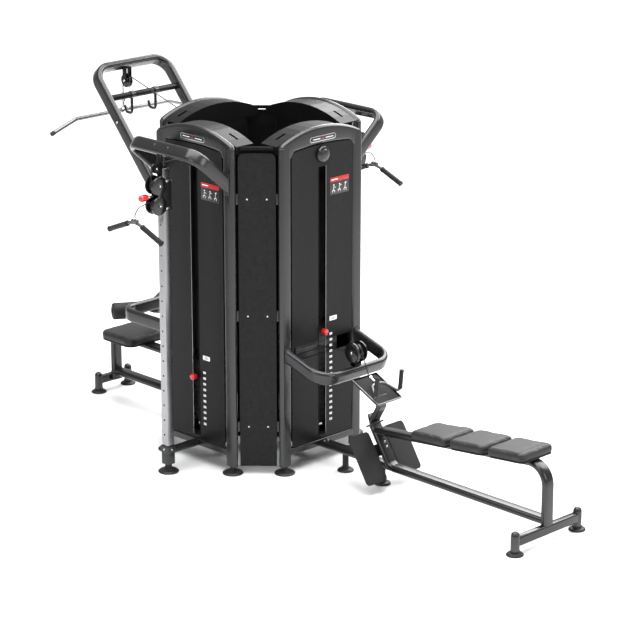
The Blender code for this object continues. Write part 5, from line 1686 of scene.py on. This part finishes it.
# ---- Lat station --------------------------------------------------------------------------------
@dataclass
class LatStation:
    """The lat pulldown: hoop, cross tube and hooks, pulley, wide bar, thigh rollers and seat."""

    shop: Workshop
    hoop_z: float = 1.385
    hoop_front: float = 1.150
    hoop_angle: float = math.radians(49)
    cross: tuple[float, float] = (1.015, 1.959)
    cross_half: float = 0.281
    hook_y: float = 0.093
    wheel_at: tuple[float, float, float] = (1.167, 0.0, 2.0093)
    bar_x: float = 1.205
    bar_z: float = 1.822
    roller_x: float = 0.982
    roller_z: float = 0.610
    seat_rear: float = 1.365
    seat_z: float = 0.365
    feet_spread: float = 0.120

    def build(self) -> None:
        """Makes every piece of the station."""
        self._hoop()
        self._bar()
        self._thigh()
        self._seat()

    def _hoop(self) -> None:
        """The tall hoop, its cross tube with two hooks, and the pulley in its bracket."""
        shop, turn = self.shop, Station.LAT.turn
        x, _, z = self.wheel_at
        hoop = u_bar(self.hoop_z, self.hoop_front, self.hoop_angle, 0.100)
        shop.piece(
            "lat_bar_hoop",
            [hoop, *flanges(self.hoop_z, self.hoop_angle)],
            "frame",
            "machine",
            Slot.FRAME,
            turn,
            ["lat_hoop"],
        )
        cross_x, cross_z = self.cross
        tube = [rod((cross_x, -self.cross_half, cross_z), (cross_x, self.cross_half, cross_z), 0.019, 32)]
        shop.piece("lat_cross_tube", tube, "cover", "machine", Slot.COVER, turn)
        hooks = []
        for side in SIDES:
            y = side * self.hook_y
            route = bent(
                [
                    (cross_x, y, cross_z), (cross_x, y, 1.845), (cross_x + 0.050, y, 1.845),
                    (cross_x + 0.066, y, 1.885),
                ],
                0.018,
                8,
            )
            hooks.append(swept(route, circle(0.0085, 20)))
            hooks.append(
                lathed(
                    [(0.0195, -0.014), (0.0225, -0.014), (0.0225, 0.014), (0.0195, 0.014)],
                    (cross_x, y, cross_z),
                    (0, 1, 0),
                    32,
                )
            )
        shop.piece("lat_hooks", hooks, "gloss", "machine", Slot.COVER, turn)
        ears = [
            plate(
                soft_rectangle(0.036, 0.116, 0.011) + (x - 0.003, z + 0.045),
                side * 0.0165,
                side * 0.0215,
                "XZ",
            )
            for side in SIDES
        ]
        top = [block((x - 0.020, -0.0215, 2.088), (x + 0.014, 0.0215, 2.110))]
        shop.piece("lat_pulley_bracket", [*ears, *top], "cover", "machine", Slot.COVER, turn)
        shop.piece(
            "lat_wheel",
            [wheel(self.wheel_at, (0, 1, 0), 0.034, 0.042, 0.010)],
            "gloss",
            "lat_wheel",
            Slot.RUBBER,
            turn,
            ["lat_pulley"],
        )
        axle = [rod((x, -0.025, z), (x, 0.025, z), 0.006)] + [
            bolt((x, side * 0.0217, z), (0, side, 0), 0.0085)
            for side in SIDES
        ]
        shop.piece("lat_wheel_axle", axle, "chrome", "lat_wheel", Slot.CHROME, turn)
        way = Vector((math.cos(self.hoop_angle), 0, math.sin(self.hoop_angle)))
        run = (self.hoop_front - UPRIGHT_FACE) / way.x * 0.62
        heads = []
        for side in SIDES:
            spot = Vector((UPRIGHT_FACE, side * (UPRIGHT_SPREAD + TUBE_THIN / 2), self.hoop_z)) + way * run
            heads.append(bolt(spot, (0, side, 0), 0.008))
        shop.piece("lat_hoop_bolts", heads, "chrome", "machine", Slot.CHROME, turn)

    def _bar(self) -> None:
        """The wide bar with its drooping ends, ring, clevis and cable."""
        shop, turn = self.shop, Station.LAT.turn
        x, z = self.bar_x, self.bar_z
        route = bent(
            [(x, -0.560, z - 0.062), (x, -0.370, z), (x, 0.370, z), (x, 0.560, z - 0.062)], 0.060, 10
        )
        caps = [
            lathed(
                [
                    (0, -0.002), (0.0132, -0.002), (0.0138, 0.004), (0.0138, 0.020), (0.0128, 0.022),
                    (0, 0.022),
                ],
                (x, side * 0.560, z - 0.062),
                (0, -side * 0.190, 0.062),
                28,
            )
            for side in SIDES
        ]
        shop.piece(
            "lat_pull_bar", [swept(route, circle(0.0124, 24))], "pull_bar", "lat_handle", Slot.STEEL, turn,
            ["lat_bar"],
        )
        shop.piece("lat_bar_caps", caps, "rubber", "lat_handle", Slot.RUBBER, turn)
        ring = [
            lathed(
                [(0, -0.018), (0.017, -0.018), (0.019, -0.014), (0.019, 0.014), (0.017, 0.018), (0, 0.018)],
                (x, 0, z),
                (0, 1, 0),
                32,
            )
        ]
        ring.append(rod((x, 0, z + 0.010), (x, 0, z + 0.058), 0.0075, 20))
        ring.append(
            plate(soft_rectangle(0.020, 0.036, 0.007) + (x, z + 0.070), -0.0085, -0.0045, "XZ", 0.0008)
        )
        ring.append(plate(soft_rectangle(0.020, 0.036, 0.007) + (x, z + 0.070), 0.0045, 0.0085, "XZ", 0.0008))
        ring.append(block((x - 0.009, -0.0085, z + 0.050), (x + 0.009, 0.0085, z + 0.058), 0.001))
        ring.append(rod((x, -0.0105, z + 0.079), (x, 0.0105, z + 0.079), 0.0042, 18))
        ring.append(
            lathed(
                [(0, 0), (0.0042, 0.001), (0.0068, 0.006), (0.0068, 0.026), (0.0044, 0.034), (0, 0.034)],
                (x, 0, z + 0.0755),
                (0, 0, 1),
                24,
            )
        )
        shop.piece("lat_bar_ring", ring, "chrome", "lat_handle", Slot.CHROME, turn)
        wrap = np.radians(np.linspace(112, 0, 23))
        wheel_x, _, wheel_z = self.wheel_at
        radius = self.bar_x - wheel_x
        over = np.stack(
            [wheel_x + radius * np.cos(wrap), np.zeros(23), wheel_z + radius * np.sin(wrap)], axis=1
        )
        first = np.array([STACK_OUT + 0.056, 0, 1.840])
        start = first + (over[0] - first) * np.linspace(0, 1, 12)[:-1, None]
        end = np.array([self.bar_x, 0, z + 0.106])
        drop = over[-1] + (end - over[-1]) * np.linspace(0, 1, 30)[:, None]
        shop.strand(
            "lat_line", np.concatenate([start, over]), drop, ("machine", "lat_handle"), turn, ["lat_cable"]
        )

    def _thigh(self) -> None:
        """The thigh bar with its lug, and two foam rollers that turn on angled shafts."""
        shop, turn = self.shop, Station.LAT.turn
        bar = u_bar(0.655, 0.930, 0.0, 0.100)
        lug = block((0.922, -0.029, 0.5955), (0.990, 0.029, 0.6285), 0.004)
        shafts, discs = [], []
        for side, body in ((-1, "roller_left"), (1, "roller_right")):
            way = Vector((0.5299, side * 0.848, 0))
            start = Vector((self.roller_x, side * 0.030, self.roller_z))
            shafts.append(rod(start - way * 0.018, start + way * 0.2215, 0.0098))
            profile = [(0.0117, 0.030), (0.030, 0.0285), (0.044, 0.0300), (0.0495, 0.0345), (0.0520, 0.0420)]
            profile += [
                (0.0520 - 0.0006 * math.sin(step / 14 * math.pi), 0.042 + 0.166 * step / 14)
                for step in range(1, 14)
            ]
            profile += [(0.0520, 0.208), (0.0495, 0.2155), (0.044, 0.2200), (0.030, 0.2212), (0.0117, 0.2200)]
            roller = shop.piece(
                f"lat_{body}_foam", [self._tube(profile, start, way)], "foam", body, Slot.FOAM, turn,
                [f"lat_{body}"],
            )
            cap = [(0.0117, 0.2195), (0.024, 0.2215), (0.026, 0.2245), (0.022, 0.2275), (0.0117, 0.2275)]
            discs.append((body, self._tube(cap, start, way)))
        shop.piece(
            "lat_thigh_frame",
            [bar, *flanges(0.655, 0.0), lug, *shafts],
            "frame",
            "machine",
            Slot.FRAME,
            turn,
            ["lat_thigh_bar"],
        )
        for body, disc in discs:
            shop.piece(f"lat_{body}_cap", [disc], "gloss", body, Slot.COVER, turn)

    @staticmethod
    def _tube(profile: Sequence[Sequence[float]], start: Vector, way: Vector) -> Surface:
        """A lathed sleeve whose profile runs back to its start along the bore.

        Args:
            profile: radius and distance pairs of the outside, from bore to bore.
            start: where distance 0 is.
            way: the shaft's direction.

        Returns:
            The closed surface.
        """
        return lathed([*profile, profile[0]], start, way, 44)

    def _seat(self) -> None:
        """The seat's beams, foot bar with domed posts, levelling feet and padded seat."""
        shop, turn = self.shop, Station.LAT.turn
        section = stadium(TUBE_WIDE, TUBE_THIN)
        rear, z, spread = self.seat_rear, self.seat_z, self.feet_spread
        lower = straight((UPRIGHT_FACE, 0, BEAM_MIDDLE), (rear - 0.025, 0, BEAM_MIDDLE), section, (0, 1, 0))
        upper = swept(
            bent([(UPRIGHT_FACE + 0.012, 0, z), (rear - 0.035, 0, z), (rear - 0.035, 0, 0.070)], 0.050),
            stadium(TUBE_WIDE - 0.001, TUBE_THIN - 0.001),
            (0, 1, 0),
        )
        tie_x = UPRIGHT_FACE + 0.018
        tie = straight(
            (tie_x, 0, BEAM_MIDDLE - 0.004),
            (tie_x, 0, z + 0.004),
            stadium(TUBE_WIDE - 0.003, TUBE_THIN - 0.004),
            (0, 1, 0),
        )
        bar = straight(
            (rear, -spread, 0.080), (rear, spread, 0.080), soft_rectangle(0.042, 0.050, 0.009), (1, 0, 0)
        )
        posts = [part for side in SIDES for part in dome_post(rear, side * spread)]
        shop.piece(
            "lat_seat_beams", [lower, upper, tie, bar, *posts], "frame", "machine", Slot.FRAME, turn,
            ["lat_seat_frame"],
        )
        feet = [levelling_foot(rear, side * spread, 0.048, 0.024, 0.022) for side in SIDES]
        feet.append(levelling_foot(0.705, 0, 0.048, 0.11, 0.018))
        shop.piece("lat_seat_feet", feet, "foot", "machine", Slot.RUBBER, turn)
        outline = soft_rectangle(0.318, 0.378, 0.058, 10)
        place = Matrix.Translation((1.130, 0, z + TUBE_THIN / 2 + 0.0006))
        Cushion(shop, "lat_pad", outline, 0.046, place, turn).build(["lat_seat_pad"])


# ---- Cable columns ------------------------------------------------------------------------------
@dataclass
class CableColumn:
    """An adjustable cable column: boom, perforated column, sliding carriage and short bar."""

    shop: Workshop
    station: Station
    out: float = 0.737
    boom_z: float = 1.715
    boom_angle: float = math.radians(41)
    carriage_z: float = 1.6508
    holes: int = 18
    hole_low: float = 0.230
    hole_pitch: float = 0.0888
    column_low: float = 0.130
    column_high: float = 1.7998
    bar_out: float = 0.950
    bar_z: float = 1.5358

    def build(self) -> None:
        """Makes every piece of the column."""
        self._boom()
        self._column()
        self._carriage()
        self._lock()
        self._bar()
        self._lines()

    def _boom(self) -> None:
        """The rising U-bar with its plate, two bolts and the upper wheel between two ears."""
        key, turn, shop = self.station.key, self.station.turn, self.shop
        bar = u_bar(self.boom_z, self.out, self.boom_angle, 0.085)
        rise = (self.out - UPRIGHT_FACE) * math.tan(self.boom_angle)
        level = self.boom_z + rise
        face = self.out + 0.0253
        tongue = plate(
            soft_rectangle(0.047, 0.128, 0.008) + (0, 1.8235), face - 0.0005, face + 0.0038, edge=0.001
        )
        ears = [
            plate(soft_rectangle(0.052, 0.052, 0.016) + (0.788, 1.8038), side * 0.0125, side * 0.0165, "XZ")
            for side in SIDES
        ]
        shop.piece(
            f"{key}_boom_bar",
            [bar, *flanges(self.boom_z, self.boom_angle)],
            "frame",
            "machine",
            Slot.FRAME,
            turn,
            [f"{key}_boom"],
        )
        shop.piece(f"{key}_boom_plate", [tongue, *ears], "cover", "machine", Slot.COVER, turn)
        across = Vector((math.cos(self.boom_angle), 0, math.sin(self.boom_angle)))
        heads = [
            bolt(Vector((self.out, side * 0.055, level)) + across * (TUBE_THIN / 2), across, 0.0105)
            for side in SIDES
        ]
        for side in SIDES:
            heads.append(bolt((face + 0.0038, 0.013 * side, 1.870), (1, 0, 0), 0.005))
        shop.piece(f"{key}_boom_bolts", heads, "gloss", "machine", Slot.COVER, turn)
        shop.piece(
            f"{key}_boom_wheel",
            [wheel((0.796, 0, 1.8038), (0, 1, 0), 0.020, 0.026, 0.008)],
            "gloss",
            "machine",
            Slot.RUBBER,
            turn,
        )
        axle = [bolt((0.796, side * 0.0163, 1.8038), (0, side, 0), 0.006) for side in SIDES]
        shop.piece(f"{key}_boom_axle", axle, "chrome", "machine", Slot.CHROME, turn)

    def _column(self) -> None:
        """The chromed square column with its row of holes, its base collar, post, beam and foot."""
        key, turn, shop = self.station.key, self.station.turn, self.shop
        half, edge = 0.025, 0.004
        tube = straight((self.out, 0, self.column_low), (self.out, 0, self.column_high),
                     soft_rectangle(2 * half, 2 * half, edge), (0, 1, 0), 0.0012)
        shop.piece(f"{key}_column_tube", [tube], "column", "machine", Slot.CHROME, turn, [f"{key}_column"])
        rings, hole_shade_discs = [], []
        for index in range(self.holes):
            z = self.hole_low + index * self.hole_pitch
            rings.append(
                lathed(
                    [
                        (0.0064, -0.0008), (0.0078, -0.0008), (0.0076, 0.0004), (0.0066, 0.0005),
                        (0.0064, -0.0008),
                    ],
                    (self.out + half, 0, z),
                    (1, 0, 0),
                    24,
                )
            )
            # Each hole is a dark disc just under the tube's face: painted shade for the hollow inside of the
            # hole.
            hole_shade_discs.append(
                lathed(
                    [(0, -0.0006), (0.0066, -0.0006), (0.0064, 0.0003), (0, 0.0002)],
                    (self.out + half, 0, z),
                    (1, 0, 0),
                    20,
                )
            )
        shop.piece(f"{key}_column_hole_rims", rings, "chrome", "machine", Slot.CHROME, turn)
        shop.piece(f"{key}_column_holes", hole_shade_discs, "hole_shade", "machine", Slot.COVER, turn)
        cap = straight((self.out, 0, self.column_high - 0.001), (self.out, 0, self.column_high + 0.001),
                    soft_rectangle(0.049, 0.049, 0.004), (0, 1, 0), 0.0008)
        shop.piece(f"{key}_column_cap", [cap], "gloss", "machine", Slot.COVER, turn)
        collar = straight(
            (self.out, 0, 0.120), (self.out, 0, 0.162), soft_rectangle(0.064, 0.064, 0.008), (0, 1, 0)
        )
        post = straight(
            (self.out, 0, 0.050), (self.out, 0, 0.140), soft_rectangle(0.058, 0.058, 0.007), (0, 1, 0)
        )
        beam = straight(
            (UPRIGHT_FACE, 0, BEAM_MIDDLE), (self.out, 0, BEAM_MIDDLE), stadium(0.054, 0.040), (0, 1, 0)
        )
        shop.piece(f"{key}_column_base", [collar, post, beam], "frame", "machine", Slot.FRAME, turn)
        shop.piece(
            f"{key}_column_foot",
            [levelling_foot(self.out, 0, 0.060, 0.055, 0.020)],
            "foot",
            "machine",
            Slot.RUBBER,
            turn,
        )
        screws = [bolt((self.out + 0.0315, 0, 0.141), (1, 0, 0), 0.006)]
        screws += [bolt((self.out, side * 0.0315, 0.141), (0, side, 0), 0.006) for side in SIDES]
        shop.piece(f"{key}_column_screws", screws, "chrome", "machine", Slot.CHROME, turn)

    def _carriage(self) -> None:
        """The sleeve on the column, its clamp screws, and two pairs of round covers over the small wheels."""
        key, turn, shop = self.station.key, self.station.turn, self.shop
        body, z = f"{key}_head", self.carriage_z
        inner, outer = 0.0262, 0.0335
        low, high = z - 0.0900, z + 0.0900
        rings = []
        for half, level in (
            (inner, low + 0.001), (outer - 0.002, low), (outer, low + 0.002), (outer, high - 0.002),
            (outer - 0.002, high), (inner, high - 0.001), (inner, low + 0.001),
        ):
            outline = soft_rectangle(2 * half, 2 * half, 0.004 if half < 0.03 else 0.008)
            rings.append(
                np.column_stack([self.out + outline[:, 0], outline[:, 1], np.full(len(outline), level)])
            )
        shop.piece(
            f"{key}_carriage_sleeve", [grid(np.array(rings), lids=False)], "cover", body, Slot.COVER, turn,
            [f"{key}_carriage"],
        )
        bands = []
        for level in (low + 0.012, high - 0.012):
            turns = []
            for half, up in (
                (0.0332, -0.007), (0.0352, -0.006), (0.0352, 0.006), (0.0332, 0.007), (0.0332, -0.007)
            ):
                outline = soft_rectangle(2 * half, 2 * half, 0.009)
                turns.append(
                    np.column_stack(
                        [self.out + outline[:, 0], outline[:, 1], np.full(len(outline), level + up)]
                    )
                )
            bands.append(grid(np.array(turns), lids=False))
        bands.append(block((0.7700, -0.011, z + 0.060), (0.8080, 0.011, z + 0.082), 0.003))
        bands.append(bolt((0.808, 0, z + 0.071), (1, 0, 0), 0.0075))
        shop.piece(f"{key}_carriage_bands", bands, "chrome", body, Slot.CHROME, turn)
        spine = [block((0.7685, -0.0300, z - 0.070), (0.8000, -0.0262, z + 0.070), 0.0012),
                 block((0.7685, 0.0262, z - 0.070), (0.8000, 0.0300, z + 0.070), 0.0012),
                 block((0.7680, -0.0300, z - 0.078), (0.7725, 0.0300, z + 0.078), 0.0015)]
        covers, wheels, screws = list(spine), [], []
        for up in (-0.057, 0.057):
            wheels.append(wheel((0.803, 0, z + up), (0, 1, 0), 0.022, 0.030, 0.009))
            for side in SIDES:
                covers.append(round_cover((0.793, side * 0.0228, z + up), side, 0.054, 0.0175))
                screws.append(bolt((0.793, side * 0.0400, z + up), (0, side, 0), 0.0065))
        shop.piece(f"{key}_carriage_covers", covers, "gloss", body, Slot.COVER, turn)
        shop.piece(f"{key}_carriage_wheels", wheels, "rubber", body, Slot.RUBBER, turn)
        shop.piece(f"{key}_carriage_screws", screws, "chrome", body, Slot.CHROME, turn)

    def _lock(self) -> None:
        """The spring plunger's bright barrel and its ribbed red knob."""
        key, turn, shop = self.station.key, self.station.turn, self.shop
        body, z = f"{key}_lock", self.carriage_z
        low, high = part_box(f"{key}_lock_knob")
        middle = (low.z + high.z) / 2
        barrel = [
            rod((self.out + 0.0254, 0, middle), (0.857, 0, middle), 0.0048),
            lathed(
                [(0, 0), (0.0095, 0), (0.0095, 0.010), (0.0075, 0.013), (0, 0.013)],
                (0.8430, 0, middle),
                (1, 0, 0),
                24,
            ),
        ]
        shop.piece(f"{key}_lock_barrel", barrel, "chrome", body, Slot.CHROME, turn)
        knob = [
            (0, 0), (0.012, 0), (0.0165, 0.004), (0.0188, 0.012), (0.0188, 0.044), (0.0168, 0.053),
            (0.011, 0.059), (0, 0.060),
        ]
        shop.piece(
            f"{key}_lock_grip",
            [lathed(knob, (0.855, 0, middle), (1, 0, 0), 44, 0.001)],
            "red",
            body,
            Slot.KNOB,
            turn,
            [f"{key}_lock_knob"],
        )
        ribs = []
        for index in range(12):
            angle = index * math.tau / 12
            y, up = 0.0184 * math.cos(angle), 0.0184 * math.sin(angle)
            ribs.append(rod((0.868, y, middle + up), (0.898, y, middle + up), 0.0016, 8, 0.0008))
        shop.piece(f"{key}_lock_ribs", ribs, "red", body, Slot.KNOB, turn)
        LOG.info("%s: knob %.0f mm off the carriage's middle", key, (middle - z) * 1000)

    def _bar(self) -> None:
        """The short bar: an eye, two drooping arms and ribbed rubber grips, hung from a bright shackle."""
        key, turn, shop = self.station.key, self.station.turn, self.shop
        body, x, z = f"{key}_grip", self.bar_out, self.bar_z
        arms = []
        for side in SIDES:
            route = bent(
                [(x, 0, z - 0.012), (x, side * 0.045, z - 0.020), (x, side * 0.220, z - 0.090)], 0.030, 8
            )
            arms.append(swept(route, circle(0.0098, 20)))
        arms.append(rod((x, -0.022, z - 0.004), (x, 0.022, z - 0.004), 0.0118, 28))
        shop.piece(f"{key}_hand_bar", arms, "bar", body, Slot.STEEL, turn, [f"{key}_cable_bar"])
        grips = [
            grip((x, side * 0.062, z - 0.0268), (x, side * 0.2225, z - 0.0910), 0.0163)
            for side in SIDES
        ]
        shop.piece(f"{key}_hand_grips", grips, "rubber", body, Slot.RUBBER, turn)
        links = shackle((x, 0, z + 0.0190), 0.0225, 0.0075, 0.0022, (1, 0, 0))
        links.append(
            lathed(
                [(0, 0), (0.0045, 0.001), (0.0062, 0.004), (0.0062, 0.008), (0.0040, 0.012), (0, 0.0125)],
                (x, 0, z + 0.0170),
                (0, 0, 1),
                22,
            )
        )
        shop.piece(f"{key}_hand_links", links, "chrome", body, Slot.CHROME, turn)

    def _lines(self) -> None:
        """The cable from the tower over the boom's wheel to the carriage, and its tail to the bar."""
        key, turn, shop = self.station.key, self.station.turn, self.shop
        wrap = np.radians(np.linspace(96, -6, 21))
        over = np.stack([0.796 + 0.0242 * np.cos(wrap), np.zeros(21), 1.8038 + 0.0242 * np.sin(wrap)], axis=1)
        first = np.array([0.521, 0, 1.8338])
        start = first + (over[0] - first) * np.linspace(0, 1, 10)[:-1, None]
        end = np.array([0.8283, 0, self.carriage_z + 0.091])
        drop = over[-1] + (end - over[-1]) * np.linspace(0, 1, 20)[:, None]
        shop.strand(
            f"{key}_upper_line", np.concatenate([start, over]), drop, ("machine", f"{key}_head"), turn,
            [f"{key}_cable_run"],
        )
        tail = bent(
            [(0.838, 0, 1.6208), (0.920, 0, 1.6033), (0.944, 0, 1.5763), (0.950, 0, 1.5595)], 0.014, 8
        )
        fine = np.column_stack(
            [
                np.interp(np.linspace(0, len(tail) - 1, 40), np.arange(len(tail)), tail[:, axis])
                for axis in range(3)
            ]
        )
        shop.strand(
            f"{key}_bar_line", np.empty((0, 3)), fine, (f"{key}_head", f"{key}_grip"), turn,
            [f"{key}_cable_tail"],
        )


# ---- Studio -------------------------------------------------------------------------------------
@dataclass
class Studio:
    """A pale glossy floor, a bright surround, soft lights and the camera."""

    camera_at: tuple[float, float, float] = (10.2305, -9.6154, 5.1399)
    forward: tuple[float, float, float] = (-0.68092, 0.66966, -0.29648)
    lens: float = 143.11

    def build(self) -> None:
        """Makes the floor, the lights, the world and the camera."""
        self._floor()
        self._lights()
        self._camera()

    def _floor(self) -> None:
        """A wide disc of pale gloss that fades to white far away."""
        rings = [circle(radius, 64) for radius in (0.5, 3, 8, 20, 60)]
        points = np.array([np.column_stack([ring, np.zeros(len(ring))]) for ring in rings])
        mesh = bpy.data.meshes.new("floor")
        count = points.shape[1]
        index = np.arange(points.shape[0] * count).reshape(points.shape[0], count)
        right = np.roll(index, -1, axis=1)
        faces = np.stack([index[:-1], index[1:], right[1:], right[:-1]], axis=2).reshape(-1, 4).tolist()
        mesh.from_pydata(points.reshape(-1, 3).tolist(), [], [index[0].tolist(), *faces])
        floor = bpy.data.objects.new("floor", mesh)
        bpy.context.scene.collection.objects.link(floor)
        material = bpy.data.materials.new("floor_gloss")
        material.use_nodes = True
        wire = Nodes(material.node_tree)
        shader = material.node_tree.nodes["Principled BSDF"]
        place = wire.add("ShaderNodeTexCoord")
        noise = wire.add("ShaderNodeTexNoise")
        noise.inputs["Scale"].default_value = 3.0
        wire.join(place.outputs["Object"], noise.inputs["Vector"])
        ramp = wire.add("ShaderNodeMapRange")
        ramp.inputs["To Min"].default_value = 0.10
        ramp.inputs["To Max"].default_value = 0.16
        wire.join(noise.outputs["Fac"], ramp.inputs["Value"])
        wire.join(ramp.outputs["Result"], shader.inputs["Roughness"])
        shader.inputs["Base Color"].default_value = (0.90, 0.905, 0.91, 1)
        shader.inputs["Specular IOR Level"].default_value = 0.75
        far = wire.add("ShaderNodeVectorMath", operation="LENGTH")
        wire.join(place.outputs["Object"], far.inputs[0])
        glow = wire.add("ShaderNodeMapRange")
        for name, value in (("From Min", 2.0), ("From Max", 9.0), ("To Min", 0.0), ("To Max", 0.62)):
            glow.inputs[name].default_value = value
        wire.join(far.outputs["Value"], glow.inputs["Value"])
        wire.join(glow.outputs["Result"], shader.inputs["Emission Strength"])
        shader.inputs["Emission Color"].default_value = (1, 1, 1, 1)
        mesh.materials.append(material)

    def _lights(self) -> None:
        """A broad light overhead, two in front, a long strip behind for the upper faces, and a pale world."""
        scene = bpy.context.scene
        world = bpy.data.worlds.new("surround")
        world.use_nodes = True
        world.node_tree.nodes["Background"].inputs["Color"].default_value = (1, 1, 1, 1)
        world.node_tree.nodes["Background"].inputs["Strength"].default_value = 0.52
        scene.world = world
        scene.view_settings.view_transform = "Standard"
        for name, spot, wide, tall, power in (
            ("top", (0.6, -0.4, 6.5), 7.0, 7.0, 1050.0),
            ("left", (2.0, -7.5, 4.2), 3.0, 3.0, 160.0),
            ("right", (8.0, 0.8, 3.6), 3.0, 3.0, 160.0),
            ("strip", (0.0, 5.4, 5.2), 9.0, 3.6, 950.0),
        ):
            lamp = bpy.data.lights.new(name, "AREA")
            lamp.shape, lamp.size, lamp.size_y, lamp.energy = "RECTANGLE", wide, tall, power
            holder = bpy.data.objects.new(name, lamp)
            holder.location = spot
            aim = Vector((0.5, 0, 0.9)) - Vector(spot)
            holder.rotation_euler = aim.to_track_quat("-Z", "Y").to_euler()
            scene.collection.objects.link(holder)

    def _camera(self) -> None:
        """The camera, level, looking down on the machine from its row and south sides."""
        camera = bpy.data.cameras.new("view")
        camera.lens, camera.sensor_width = self.lens, 36.0
        camera.clip_end = 200.0
        holder = bpy.data.objects.new("view", camera)
        holder.location = self.camera_at
        holder.rotation_euler = Vector(self.forward).to_track_quat("-Z", "Y").to_euler()
        bpy.context.scene.collection.objects.link(holder)
        bpy.context.scene.camera = holder


def main() -> None:
    """Builds every sub-assembly in order."""
    logging.basicConfig(level=logging.INFO, format="%(message)s")
    Studio().build()
    shop = Workshop()
    shop.dress("core_base", "frame")
    Tower(shop, Station.ROW, 16, 0.8006).build()
    Tower(shop, Station.NORTH, 10, 0.5278).build()
    Tower(shop, Station.LAT, 16, 0.8006).build()
    Tower(shop, Station.SOUTH, 10, 0.5278).build()
    RowStation(shop).build()
    LatStation(shop).build()
    for station in (Station.NORTH, Station.SOUTH):
        CableColumn(shop, station).build()


if __name__ == "__main__":
    main()
